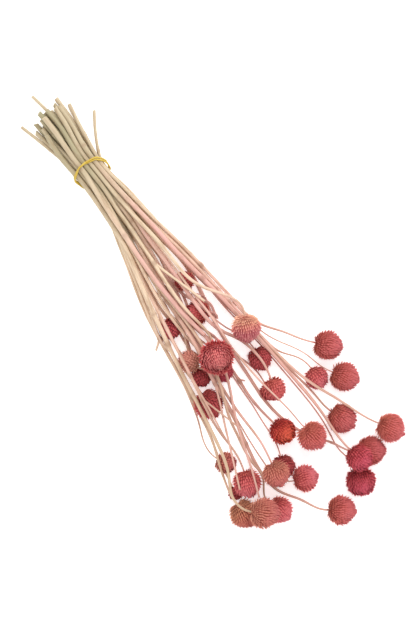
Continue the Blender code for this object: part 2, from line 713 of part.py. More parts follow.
def band_mesh(name, mains):
    """Return the doubled band: one closed strand, twice round, that crosses over itself once."""
    line, out = tie_outline(mains)
    line, out = np.vstack((line, line[:1])), np.vstack((out, out[:1]))
    run = np.concatenate(((0.0,), np.cumsum(np.linalg.norm(np.diff(line, axis=0), axis=1))))
    turns = np.arange(2 * BAND_STEPS) / BAND_STEPS
    want = (turns + BAND_CROSSING) % 1.0 * run[-1]
    middle = np.stack([np.interp(want, run, line[:, k]) for k in range(3)], axis=1)
    normal = np.stack([np.interp(want, run, out[:, k]) for k in range(3)], axis=1)
    ahead = np.roll(middle, -1, axis=0) - np.roll(middle, 1, axis=0)
    ahead /= np.linalg.norm(ahead, axis=1)[:, None]
    beside = np.cross(ahead, normal)
    beside /= np.linalg.norm(beside, axis=1)[:, None]
    swing = np.tanh(BAND_SWITCH * np.cos(turns * math.pi)) / math.tanh(BAND_SWITCH) * BAND_SPREAD / 2
    lift = np.sqrt(np.clip(BAND_SPREAD ** 2 - (2 * swing) ** 2, 0, None))
    over = (turns < 1)[:, None]
    strand = middle + beside * swing[:, None] + normal * np.where(over, lift[:, None], 0.0)
    turn = np.arange(BAND_SIDES) * math.tau / BAND_SIDES
    reach = np.cos(turn)[None, :, None] * normal[:, None] + np.sin(turn)[None, :, None] * beside[:, None]
    rings = strand[:, None] + reach * BAND_THICK / 2
    return new_mesh(name, rings, ring_faces(len(rings), BAND_SIDES, closed=True))


def finish(name, color, roughness):
    """Return a plain material of one colour."""
    material = bpy.data.materials.new(name)
    material.use_nodes = True
    shader = material.node_tree.nodes["Principled BSDF"]
    shader.inputs["Base Color"].default_value = (*color, 1.0)
    shader.inputs["Roughness"].default_value = roughness
    return material


def add_object(name, mesh, parent, color, roughness):
    """Link an object with its own material under the bunch's empty and return it."""
    thing = bpy.data.objects.new(name, mesh)
    thing.data.materials.append(finish(name, color, roughness))
    thing.parent = parent
    bpy.context.scene.collection.objects.link(thing)
    return thing


def fuse(thing, limbs):
    """Grow the limbs' meshes onto an object with one Boolean union, and remove what it used."""
    scene = bpy.context.scene
    group = bpy.data.collections.new("limbs")
    scene.collection.children.link(group)
    for mesh in limbs:
        group.objects.link(bpy.data.objects.new(mesh.name, mesh))
    union = thing.modifiers.new("union", "BOOLEAN")
    union.operation = "UNION"
    union.solver = "EXACT"
    union.operand_type = "COLLECTION"
    union.collection = group
    bpy.context.view_layer.update()
    grown = bpy.data.meshes.new_from_object(thing.evaluated_get(bpy.context.evaluated_depsgraph_get()))
    thing.modifiers.remove(union)
    thing.data = grown
    for limb in list(group.objects):
        bpy.data.objects.remove(limb, do_unlink=True)
    bpy.data.collections.remove(group)


def stem_color(place):
    """Return a stem's colour: the left of the bunch is straw, the right dusty pink."""
    return tuple(a + (b - a) * place for a, b in zip(STRAW, PINK))


def build_stem(number, strands, lines, parent):
    """Make one stem with its side branch and twigs as one solid."""
    own = [(s, line) for s, line in zip(strands, lines) if s.stem == number]
    name = f"stem_{number + 1:02d}"
    meshes = [tube_mesh(name, line[:s.body], s.radius[:s.body]) for s, line in own]
    place = 1 - number / (len(STEMS) - 1)
    thing = add_object(name, meshes[0], parent, stem_color(place), STEM_ROUGHNESS)
    if len(meshes) > 1:
        fuse(thing, meshes[1:])


def build_head(number, strand, line, tone, parent):
    """Make one head on the end of its stem, turned the way the stem pushes it."""
    name = f"flower_head_{number:02d}"
    draw = np.random.default_rng(SEED + number)
    mesh = head_mesh(name, strand.head * 2, strand.radius[strand.body - 1], draw)
    head = add_object(name, mesh, parent, TONES[tone], HEAD_ROUGHNESS)
    base, middle = line[-2], line[-1]
    axis = unit(middle - base)
    seat = base + axis * (strand.head * SEAT_SHARE + SEAT_GAP)
    head.location = Vector(seat * MM)
    head.rotation_mode = "QUATERNION"
    head.rotation_quaternion = Vector(axis).to_track_quat("Z", "Y")


def set_down(bunch):
    """Move the bunch so that its box is centred over the origin and its lowest point is at height 0."""
    bpy.context.view_layer.update()
    spots = np.array([thing.matrix_world @ v.co for thing in bunch.children for v in thing.data.vertices])
    low, high = spots.min(axis=0), spots.max(axis=0)
    bunch.location = Vector((-(low[0] + high[0]) / 2, -(low[1] + high[1]) / 2, -low[2]))


def main():
    """Build the bunch."""
    for thing in list(bpy.data.objects):
        bpy.data.objects.remove(thing, do_unlink=True)
    strands = lay_out()
    lines = Settling(strands).run()
    bunch = bpy.data.objects.new("bunch", None)
    bpy.context.scene.collection.objects.link(bunch)
    for number in range(len(STEMS)):
        build_stem(number, strands, lines, bunch)
    tones = [flower.tone for stem in STEMS for flower in stem.flowers]
    heads = [(s, line) for s, line in zip(strands, lines) if s.head]
    for number, ((strand, line), tone) in enumerate(zip(heads, tones), start=1):
        build_head(number, strand, line, tone, bunch)
    mains = [(line[:s.body], s.radius) for s, line in zip(strands, lines) if s.parent < 0]
    add_object("rubber_band", band_mesh("rubber_band", mains), bunch, BAND_COLOR, BAND_ROUGHNESS)
    set_down(bunch)


main()
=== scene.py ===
"""Looks of a tied bunch of dried globe amaranth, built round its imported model.

Every shape is worked out in the bunch's own millimetres: along is its length, from the cut ends (minus) past
the tie at 0 to the flower heads (plus), across is level and square to it, and up is the height above the
surface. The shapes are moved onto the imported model, in metres, when they are put into their meshes.
"""

import json
import logging
import math
from dataclasses import dataclass, field
from enum import Enum
from typing import Any, Dict, List, Optional, Sequence, Tuple, Union

import bpy
import numpy as np
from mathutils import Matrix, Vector

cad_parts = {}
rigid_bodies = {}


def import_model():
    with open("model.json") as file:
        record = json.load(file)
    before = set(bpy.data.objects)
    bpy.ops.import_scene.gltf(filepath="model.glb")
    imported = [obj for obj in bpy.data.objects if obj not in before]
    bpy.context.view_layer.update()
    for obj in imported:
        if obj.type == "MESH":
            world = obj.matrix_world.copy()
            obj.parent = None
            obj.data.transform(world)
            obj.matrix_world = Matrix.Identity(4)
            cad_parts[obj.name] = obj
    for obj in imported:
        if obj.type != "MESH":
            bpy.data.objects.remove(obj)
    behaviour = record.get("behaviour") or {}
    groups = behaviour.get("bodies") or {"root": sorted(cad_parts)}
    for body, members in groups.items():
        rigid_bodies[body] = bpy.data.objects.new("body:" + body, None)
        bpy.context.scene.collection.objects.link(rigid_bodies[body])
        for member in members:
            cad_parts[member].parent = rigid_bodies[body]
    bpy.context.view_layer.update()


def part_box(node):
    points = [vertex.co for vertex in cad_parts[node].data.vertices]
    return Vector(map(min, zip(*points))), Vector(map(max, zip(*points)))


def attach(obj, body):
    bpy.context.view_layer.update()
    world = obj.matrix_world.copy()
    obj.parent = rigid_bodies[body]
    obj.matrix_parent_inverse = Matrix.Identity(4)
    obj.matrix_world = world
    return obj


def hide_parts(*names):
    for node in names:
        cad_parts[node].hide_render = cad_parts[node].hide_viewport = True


LOG = logging.getLogger("bunch")
MM = 0.001
SEED = 11
TINY = 1e-6
NO_ORDER = -9

# Sizes that several pieces share, in millimetres, or as shares of a radius.
GAP = 0.34
BAND_THICK = 1.4
BAND_GAP = 0.45
SEAT_SHARE = 0.42
SEAT_GAP = 0.3
FORK_SWELL = 1.22
CUT_POINTS = 3

# The sockets of a Mix node that mixes colours: the share, the two colours and the result.
MIX_SHARE, MIX_FIRST, MIX_SECOND, MIX_RESULT = 0, 6, 7, 2

Array = np.ndarray
Color = Tuple[float, float, float]
Spot = Tuple[float, ...]


# What the bunch holds.

class Tone(Enum):
    """How a head took its dye and aged: the key of its finish."""

    DUSTY = "dusty rose"
    ROSE = "rose"
    MAGENTA = "magenta rose"
    CRIMSON = "dark crimson"
    CORAL = "coral"
    SCARLET = "orange scarlet"
    PEACH = "peach"
    FADED = "faded brownish orange"
    MUTED = "muted salmon"
    PALE = "pale brownish peach"
    SMOKED = "rose with a grey tip"


@dataclass(frozen=True)
class Hue:
    """How a stem took its dye: blush at its head end, sage at its cut end, and where the pink begins."""

    blush: float
    sage: float
    pink_from: float


@dataclass(frozen=True)
class Flower:
    """A head: its middle seen from above, its width, where it points and what its stem passes."""

    along: float
    across: float
    width: float
    turn: float
    tilt: float
    rise: float
    via: Tuple[Spot, ...]
    tone: Tone


@dataclass(frozen=True)
class Twig:
    """A short broken side twig: where it leaves its stem, how long it is and where it points."""

    along: float
    length: float
    turn: float
    tilt: float


@dataclass(frozen=True)
class Stem:
    """A stem: its thickness at the tie, its cut end, its place in the tie, what it carries and its hue.

    The second flower stands on a side branch that leaves the stem at fork, measured along the bunch. A broken
    stem carries nothing and passes the points along, across and up that are given, to its broken end.
    """

    girth: float
    cut: Spot
    slot: Spot
    flowers: Tuple[Flower, ...]
    hue: Hue
    fork: float = 0.0
    twigs: Tuple[Twig, ...] = ()
    broken: Tuple[Spot, ...] = ()


STEMS: Tuple[Stem, ...] = (
    Stem(3.4, (-57, 16), (10, 0.95), (
        Flower(240.5, 62.6, 24.8, 40, 4, 0, ((60, 11.5), (100, 16.8), (165, 22), (190, 27), (203, 36)),
               Tone.DUSTY),
        Flower(270.2, 57.4, 24.8, 30, 0, 0, ((165, 22), (199, 26.5), (215, 33.5), (234, 43)), Tone.DUSTY)),
         Hue(0.6, 0.1, 70), fork=128),
    Stem(3.8, (-68, 10), (10, 0.25), (
        Flower(328, 61.5, 24.8, 29, 0, 0, ((60, 10), (100, 14.8), (160, 19.8), (202, 23), (248, 30.5),
               (288, 44)), Tone.DUSTY),),
         Hue(0.6, 0.1, 60), twigs=(Twig(158, 12, 24, 8),)),
    Stem(3.6, (-61, 4), (4, 0.95), (
        Flower(185.5, 17.8, 24.4, -28, -24, 14, ((50, 1.2), (94, 4.3), (133, 8.5)), Tone.PEACH),),
         Hue(0.45, 0.3, 100)),
    Stem(2.5, (-39.5, 29.5), (13, 0.55), (
        Flower(256.6, 38.2, 19.6, -8, 4, 0, ((60, 12.5), (110, 17), (165, 21), (205, 24.5),
               (222, 29), (238, 39)), Tone.ROSE),),
         Hue(0.6, 0.0, 60)),
    Stem(3.7, (-64, 3.5), (7, 0.4), (
        Flower(296.5, 34.8, 24.8, 17, 3, 0, ((60, 6.5), (110, 11), (200, 21), (250, 27), (270, 29)),
               Tone.DUSTY),),
         Hue(0.7, 0.6, 70)),
    Stem(4, (-60, 8), (7, 0.75), (
        Flower(332, 27, 22.6, 12, 16, 24, ((60, 8.8), (110, 12.5), (150, 17), (200, 20.5), (250, 23.8),
               (292, 24)), Tone.MAGENTA),
        Flower(349.5, 13.8, 25, -16, 24, 0, ((150, 14), (200, 17.5), (250, 20.3), (297, 19), (322, 16.5)),
               Tone.MAGENTA)),
         Hue(0.95, 0.3, 15), fork=118),
    Stem(3.8, (-60, -1), (4, 0.2), (
        Flower(334, 36.4, 24.2, 52, 0, 0, ((60, 3), (110, 4), (180, -3), (240, -6.3), (268, -5),
               (290, 3), (304, 11), (315, 18.5)), Tone.DUSTY),),
         Hue(0.7, 0.5, 60)),
    Stem(2.5, (-82, -4.3), (3, 0.45), (
        Flower(292.8, 5.2, 24.6, 4, -8, 10, ((60, 1), (110, 0), (180, -2.5, 26), (235, 0, 35),
               (262, 3.5, 33)), Tone.DUSTY),),
         Hue(0.6, 0.1, 60)),
    Stem(4, (-62, -1), (2, 0.7), (
        Flower(241, 4.3, 19.6, -22, 5, 15.5, ((60, -1), (120, -1.5), (172, -0.5), (191, 8.5), (205, 11.2),
               (224, 10.3)), Tone.CORAL),
        Flower(213.6, 12.4, 20.6, -8, 15, 0, ((174, 4), (192, 11.5)), Tone.CRIMSON)),
         Hue(0.9, 0.6, 40), fork=132),
    Stem(4.4, (-60, -8), (-7, 1.0), (), Hue(1.0, 0.2, 50),
         broken=((60, -15, 24), (120, -18, 30), (169, -14, 33))),
    Stem(3.4, (-58, -6), (0, 0.05), (
        Flower(150.5, -9, 20.4, -137, 0, 5, ((90, -3), (150, -2), (166, 1), (167, -4)), Tone.CORAL),
        Flower(122.5, 0, 16.8, 168, 0, 0, ((149, 3), (142, 6)), Tone.CORAL)),
         Hue(0.8, 0.8, 50), fork=144),
    Stem(3.2, (-63, -5), (0, 0.1), (
        Flower(241, -1, 16, -10, 0, 0, ((60, -3), (100, -3), (190, -5.5)), Tone.CRIMSON),),
         Hue(0.7, 0.9, 60)),
    Stem(4, (-66, -10), (-2, 0.6), (
        Flower(274.3, -11.4, 22, 12, 30, 2, ((60, -6), (110, -7.5), (160, -10), (216, -13.5),
               (240, -15.5), (254, -14.5)), Tone.SCARLET),
        Flower(299.5, -29.5, 20, -20, 0, 0, ((190, -13.5), (216, -16), (240, -17.5), (262, -20),
               (280, -22)), Tone.CRIMSON)),
         Hue(0.85, 0.95, 60), fork=160, twigs=(Twig(212, 6, 28, 20),)),
    Stem(4.2, (-64, -3), (-3, 0.92), (
        Flower(190.8, -20.8, 28.4, -25, 44, 16, ((50, -8), (91, -11, 19), (150, -15, 21)), Tone.SMOKED),),
         Hue(0.2, 0.8, 110), twigs=(Twig(91, 56, 14, 6),)),
    Stem(3.3, (-52, -11), (-4, 0.15), (
        Flower(202.3, -23, 18.4, -20, 0, 0, ((60, -11), (100, -13.5), (170, -20)), Tone.MAGENTA),),
         Hue(0.5, 0.8, 70)),
    Stem(3.3, (-57, -9), (-6, 0.05), (
        Flower(149.5, -30.5, 17.6, -20, 0, 0, ((60, -15), (110, -25)), Tone.CRIMSON),),
         Hue(0.5, 0.7, 60)),
    Stem(3.5, (-44, -11), (-6, 0.75), (
        Flower(180, -37.2, 19, -160, 15, 9, ((60, -16), (90, -21), (150, -27), (187.5, -27),
               (195.5, -31)), Tone.PALE),),
         Hue(0.3, 0.7, 80)),
    Stem(3.5, (-61, -17), (-8, 0.3), (
        Flower(194.5, -38, 17.6, -20, 0, 0, ((60, -17), (90, -23), (150, -32)), Tone.CRIMSON),),
         Hue(0.5, 0.9, 70)),
    Stem(2.5, (-67, -28), (-12, 0.35), (
        Flower(217, -44.5, 25, -10, 0, 0, ((60, -20), (100, -29), (170, -41)), Tone.CRIMSON),),
         Hue(0.25, 0.1, 90), twigs=(Twig(120, 88, -14, 2),)),
    Stem(3.9, (-61, -8), (-7, 0.5), (
        Flower(358, -14.5, 24.8, 48, 0, 0, ((60, -15), (120, -22.5), (215, -34, 25), (262, -43),
               (300, -48.5), (322, -42), (336, -32.5)), Tone.DUSTY),
        Flower(315.7, -22, 22.4, 70, 6, 10, ((200, -31), (250, -38), (290, -41), (306, -38.5)), Tone.ROSE)),
         Hue(0.6, 0.7, 80), fork=146, twigs=(Twig(201, 92, -24, 0),)),
    Stem(3.7, (-58, -10), (-4, 0.5), (
        Flower(298.7, -38, 22.6, -14, 8, 18.5, ((60, -12.5), (120, -18, 12), (200, -26.5, 13),
               (240, -31, 18), (272, -32)), Tone.MUTED),),
         Hue(0.7, 0.8, 60), twigs=(Twig(105, 78, -15, 0),)),
    Stem(3.6, (-54, -12), (-7, 0.85), (
        Flower(325, -56.2, 22.6, 8, 0, 0, ((60, -14), (120, -20), (203, -29, 24), (229, -39.5, 24),
               (250, -45), (284, -50), (302, -54)), Tone.ROSE),),
         Hue(0.35, 0.4, 110), twigs=(Twig(108, 84, -13, 0),)),
    Stem(3.6, (-55, -21), (-10, 0.6), (
        Flower(289.8, -62, 24.2, -24, 14, 3, ((60, -19), (110, -29), (205, -47.5, 27), (245, -54),
               (268, -55)), Tone.ROSE),),
         Hue(0.5, 0.3, 70), twigs=(Twig(208, 40, 13, 12), Twig(98, 95, -10, 0), Twig(183, 66, -9.5, 4))),
    Stem(4, (-47, -14), (-12, 0.85), (
        Flower(318.5, -66.5, 25.8, 46, 0, 23, ((60, -19), (110, -31), (198, -50, 26), (240, -59),
               (276, -70.5), (301, -80)), Tone.MUTED),
        Flower(292.5, -75.3, 12, -20, 0, 0, ((200, -50.5), (250, -64), (276, -71)), Tone.CRIMSON)),
         Hue(0.12, 0.6, 80), fork=150),
    Stem(3.7, (-60, -12), (-11, 0.35), (
        Flower(309, -79.8, 24.4, -3, 0, 0, ((60, -22), (100, -33.5), (140, -44), (200, -53), (240, -61),
               (262, -69, 21), (282, -76.5)), Tone.FADED),),
         Hue(0.2, 0.6, 80), twigs=(Twig(146, 11, -58, 3),)),
    Stem(2.6, (-56, -14), (-13, 0.15), (
        Flower(266, -68.3, 18.2, 30, 0, 0, ((60, -23), (100, -36), (140, -46), (180, -52),
               (207, -58.5), (232, -67.5), (248, -73)), Tone.MUTED),),
         Hue(0.45, 0.3, 90)),
    Stem(3.4, (-55, -3), (-2, 0.4), (), Hue(0.8, 0.6, 60),
         broken=((60, -8, 12), (130, -12, 14), (201, -16.5, 16), (243, -37, 21), (276, -50, 28),
                 (306, -63, 27))),
)


@dataclass
class Strand:
    """A stem, branch or twig as a chain of points, which ends at its head's middle if it has a head."""

    points: Array
    radius: Array
    stem: int
    head: float = 0.0
    parent: int = -1
    fork: int = -1

    @property
    def body(self) -> int:
        """How many of the points belong to the stem itself, without the head's middle."""
        return len(self.points) - (1 if self.head else 0)


# Lines and directions.

def heading(turn: float, tilt: float) -> Array:
    """Work out a direction: the cosines and sines of its two angles.

    Args:
        turn: Degrees from the bunch's length.
        tilt: Degrees above the level.

    Returns:
        The direction, at length 1.
    """
    turn, tilt = math.radians(turn), math.radians(tilt)
    return np.array((math.cos(turn) * math.cos(tilt), math.sin(turn) * math.cos(tilt), math.sin(tilt)))


def unit(vectors: Array) -> Array:
    """Return the vectors of the last axis at length 1."""
    return vectors / np.maximum(np.linalg.norm(vectors, axis=-1, keepdims=True), TINY)


def run_along(points: Array) -> Array:
    """Return how far along a line each of its points lies."""
    return np.concatenate(((0.0,), np.cumsum(np.linalg.norm(np.diff(points, axis=0), axis=1))))


def smooth_line(knots: Union[Array, Sequence[Array]], count: int, crowding: float = 1.0,
                fine_steps: int = 400) -> Array:
    """Draw the natural cubic spline through the knots: no bend at its two ends, and one slope at each knot.

    Args:
        knots: The points that the line passes.
        count: How many points to return.
        crowding: Above 1, the points stand closer towards the line's end.
        fine_steps: How finely the line is measured first.

    Returns:
        The points, evenly spaced where crowding is 1.
    """
    knots = np.asarray(knots, float)
    chord = np.linalg.norm(np.diff(knots, axis=0), axis=1)
    at = np.concatenate(((0.0,), np.cumsum(chord)))
    size = len(knots)
    system = np.eye(size)
    bend = np.zeros_like(knots)
    slope = np.diff(knots, axis=0) / chord[:, None]
    for i in range(1, size - 1):
        system[i, i - 1:i + 2] = chord[i - 1], 2 * (chord[i - 1] + chord[i]), chord[i]
        bend[i] = 6 * (slope[i] - slope[i - 1])
    bend = np.linalg.solve(system, bend)
    fine = np.linspace(0, at[-1], fine_steps)
    cell = np.clip(np.searchsorted(at, fine) - 1, 0, size - 2)
    width = chord[cell][:, None]
    left = (at[cell + 1] - fine)[:, None] / width
    right = 1 - left
    line = left * knots[cell] + right * knots[cell + 1]
    line += ((left ** 3 - left) * bend[cell] + (right ** 3 - right) * bend[cell + 1]) * width ** 2 / 6
    run = run_along(line)
    want = run[-1] * (1 - (1 - np.linspace(0, 1, count)) ** crowding)
    return np.stack([np.interp(want, run, line[:, k]) for k in range(3)], axis=1)


def waves(run: Array, lengths: Sequence[float], draw: np.random.Generator) -> Array:
    """Add sine waves of the given lengths with drawn phases, and divide the sum by their number.

    Args:
        run: How far along a line each place lies.
        lengths: The waves' lengths.
        draw: The source of chance.

    Returns:
        The sum at each place, from -1 to 1.
    """
    phase = draw.uniform(0, math.tau, len(lengths))
    parts = [np.sin(run * math.tau / length + start) for length, start in zip(lengths, phase)]
    return np.sum(parts, axis=0) / len(lengths)


def smooth_step(low: float, high: float, value: Array) -> Array:
    """Rise from 0 at low to 1 at high along a cubic that is level at both ends."""
    share = np.clip((value - low) / (high - low), 0, 1)
    return share * share * (3 - 2 * share)


def spokes(turn: Array, first: Array, second: Array) -> Array:
    """Point outwards all round each ring: the turn's cosine times first plus its sine times second.

    Args:
        turn: The turn of each point of a ring.
        first: Each ring's direction at no turn.
        second: Each ring's direction at a quarter turn.

    Returns:
        The direction of each point of each ring.
    """
    return np.cos(turn)[None, :, None] * first[:, None] + np.sin(turn)[None, :, None] * second[:, None]


# How the stems lie.

@dataclass(frozen=True)
class Tie:
    """The place of each stem in the tie: round stems pressed together in an oval, none overlapping."""

    across: float = -4.0
    high: float = 8.5
    nudge: float = 0.4
    steps: int = 1600
    ease: float = 1300.0
    pull: Tuple[float, float] = (0.010, 0.026)
    push: float = 0.3
    gap: float = GAP
    floor: float = BAND_THICK + BAND_GAP + GAP

    def pack(self) -> Array:
        """Draw the stems to the middle and push apart each pair that is nearer than its radii and the gap.

        Returns:
            Each stem's place across and up.
        """
        radius = np.array([stem.girth / 2 for stem in STEMS])
        spot = np.array([(stem.slot[0], (stem.slot[1] * 2 - 1) * self.high) for stem in STEMS], float)
        draw = np.random.default_rng(SEED)
        spot += draw.uniform(-self.nudge, self.nudge, spot.shape)
        least = radius[:, None] + radius[None, :] + self.gap
        itself = np.eye(len(spot)) * least.max()
        for step in range(self.steps):
            spot -= spot * self.pull * max(0.0, 1 - step / self.ease)
            apart = spot[:, None] - spot[None, :]
            distance = np.linalg.norm(apart, axis=2) + itself
            push = np.clip(least - distance, 0, None) * self.push
            spot += (apart / distance[..., None] * push[..., None]).sum(axis=1)
        spot[:, 0] += self.across - spot[:, 0].mean()
        spot[:, 1] += self.floor - (spot[:, 1] - radius).min()
        return spot


@dataclass(frozen=True)
class Layout:
    """The stems as they are laid out before they settle, with their taper and their forks."""

    tie: Tie = Tie()
    seat_share: float = SEAT_SHARE
    seat_gap: float = SEAT_GAP
    lead_in: float = 13.0
    tip_thin: float = 0.38
    taper_power: float = 1.5
    broken_taper: float = 0.0016
    branch_thin: float = 0.37
    branch_taper: float = 0.8
    branch_most: float = 1.7
    branch_crowding: float = 1.15
    branch_pitch: float = 13.0
    cut_thick: float = 1.04
    cut_lift: float = 0.25
    cut_points: int = CUT_POINTS
    joint_swell: float = FORK_SWELL
    broken_thin: float = 0.95
    twig_thin: float = 0.62
    twig_taper: float = 0.85
    twig_pitch: float = 18.0
    branch_points: int = 5
    twig_points: int = 3
    run_points: int = 14
    crowding: float = 1.35
    fine_steps: int = 400

    def reach_head(self, flower: Flower, start: Array) -> Tuple[List[Array], Array]:
        """Lead a stem from a point past its flower's way points, straight into the base of the head.

        The stem rises evenly, apart from the way points that name their own height.

        Args:
            flower: The flower.
            start: Where the stem comes from.

        Returns:
            The knots of the stem, and the head's middle.
        """
        radius = flower.width / 2
        axis = heading(flower.turn, flower.tilt)
        middle = np.array((flower.along, flower.across, radius + flower.rise))
        base = middle - axis * (radius * self.seat_share + self.seat_gap)
        before = base - axis * self.lead_in
        flat = [start[:2]] + [np.array(v[:2], float) for v in flower.via] + [before[:2]]
        run = np.cumsum([0.0] + [np.linalg.norm(b - a) for a, b in zip(flat, flat[1:])])
        knots = [start]
        for spot, gone in zip(flower.via, run[1:-1]):
            up = spot[2] if len(spot) > 2 else start[2] + (before[2] - start[2]) * gone / run[-1]
            knots.append(np.array((spot[0], spot[1], up)))
        if np.linalg.norm(before[:2] - flat[-2]) > self.lead_in / 2:
            knots.append(before)
        return knots + [base], middle

    def main_strand(self, number: int, stem: Stem, spot: Array) -> Strand:
        """Lay a stem from its cut end through the tie to its head, or to its broken end.

        Args:
            number: The stem's place in the table, from 0.
            stem: The stem.
            spot: Its place in the tie.

        Returns:
            The strand.
        """
        lift = max(stem.girth / 2 * self.cut_thick, spot[1] + (spot[1] - self.tie.high) * self.cut_lift)
        cut, grip = np.array((stem.cut[0], stem.cut[1], lift)), np.array((0.0, spot[0], spot[1]))
        middle: Optional[Array] = None
        if stem.flowers:
            knots, middle = self.reach_head(stem.flowers[0], grip)
        else:
            knots = [grip] + [np.array(point, float) for point in stem.broken]
        whole = smooth_line([cut] + knots, self.fine_steps)
        at_tie = np.argmin(np.linalg.norm(whole - grip, axis=1))
        lower = whole[np.linspace(0, at_tie, self.cut_points + 1).astype(int)][:-1]
        upper = smooth_line(knots, self.run_points, self.crowding if stem.flowers else 1.0)
        points = np.vstack((lower, upper))
        thick = stem.girth / 2
        last = self.tip_thin if stem.flowers else max(self.tip_thin, 1 - self.broken_taper * upper[-1, 0])
        taper = 1 - (1 - last) * np.linspace(0, 1, len(upper)) ** self.taper_power
        radius = np.concatenate((np.full(len(lower), thick * self.cut_thick), thick * taper))
        if middle is None:
            return Strand(points, radius * self.broken_thin, number)
        return Strand(np.vstack((points, middle)), np.append(radius, 0.0), number,
                      head=stem.flowers[0].width / 2)

    def nearest_point(self, strand: Strand, along: float) -> int:
        """Return the index of the stem's point nearest to a place along the bunch, past the tie."""
        first = self.cut_points + 1
        return first + int(np.argmin(np.abs(strand.points[first:strand.body - 2, 0] - along)))

    def side_strands(self, number: int, stem: Stem, parent: int, main: Strand) -> List[Strand]:
        """Grow a stem's side branch and its broken twigs from the stem's points, and swell the forks.

        Args:
            number: The stem's place in the table, from 0.
            stem: The stem.
            parent: The main strand's place in the list of strands.
            main: The main strand.

        Returns:
            The side strands.
        """
        found = []
        if len(stem.flowers) > 1:
            fork = self.nearest_point(main, stem.fork)
            knots, middle = self.reach_head(stem.flowers[1], main.points[fork])
            length = sum(np.linalg.norm(b - a) for a, b in zip(knots, knots[1:]))
            count = max(self.branch_points, round(length / self.branch_pitch) + 1)
            points = smooth_line(knots, count, self.branch_crowding)
            thick = min(stem.girth * self.branch_thin, main.radius[fork] * self.branch_most) / 2
            radius = np.append(np.linspace(thick, thick * self.branch_taper, count), 0.0)
            found.append(Strand(np.vstack((points, middle)), radius, number,
                                stem.flowers[1].width / 2, parent, fork))
        for twig in stem.twigs:
            fork = self.nearest_point(main, twig.along)
            root = main.points[fork]
            reach = heading(twig.turn, twig.tilt) * twig.length
            count = max(self.twig_points, round(twig.length / self.twig_pitch) + 1)
            points = root + np.linspace(0, 1, count)[:, None] * reach
            thick = main.radius[fork] * self.twig_thin
            radius = np.linspace(thick, thick * self.twig_taper, count)
            found.append(Strand(points, radius, number, 0.0, parent, fork))
        for strand in found:
            main.radius[strand.fork] *= self.joint_swell
        return found

    def lay_out(self) -> List[Strand]:
        """Lay out every stem with its side strands.

        Returns:
            The strands as they lie before they settle.
        """
        strands: List[Strand] = []
        for number, (stem, spot) in enumerate(zip(STEMS, self.tie.pack())):
            main = self.main_strand(number, stem, spot)
            parent = len(strands)
            strands.append(main)
            strands.extend(self.side_strands(number, stem, parent, main))
        return strands


def closest(p0: Array, p1: Array, q0: Array, q1: Array) -> Tuple[Array, Array]:
    """Find the nearest points of pairs of straight pieces, by their common perpendicular cut to both.

    Args:
        p0: The first pieces' starts.
        p1: The first pieces' ends.
        q0: The second pieces' starts.
        q1: The second pieces' ends.

    Returns:
        How far along each piece its nearest point lies, from 0 to 1.
    """
    u, v, w = p1 - p0, q1 - q0, p0 - q0
    a, b, c = (u * u).sum(1), (u * v).sum(1), (v * v).sum(1)
    d, e = (u * w).sum(1), (v * w).sum(1)
    a, c = np.maximum(a, TINY), np.maximum(c, TINY)
    cross = a * c - b * b
    s = np.where(cross > TINY, np.clip((b * e - c * d) / np.maximum(cross, TINY), 0, 1), 0.0)
    t = (b * s + e) / c
    t_in = np.clip(t, 0, 1)
    s = np.where(t == t_in, s, np.clip((b * t_in - d) / a, 0, 1))
    return s, t_in


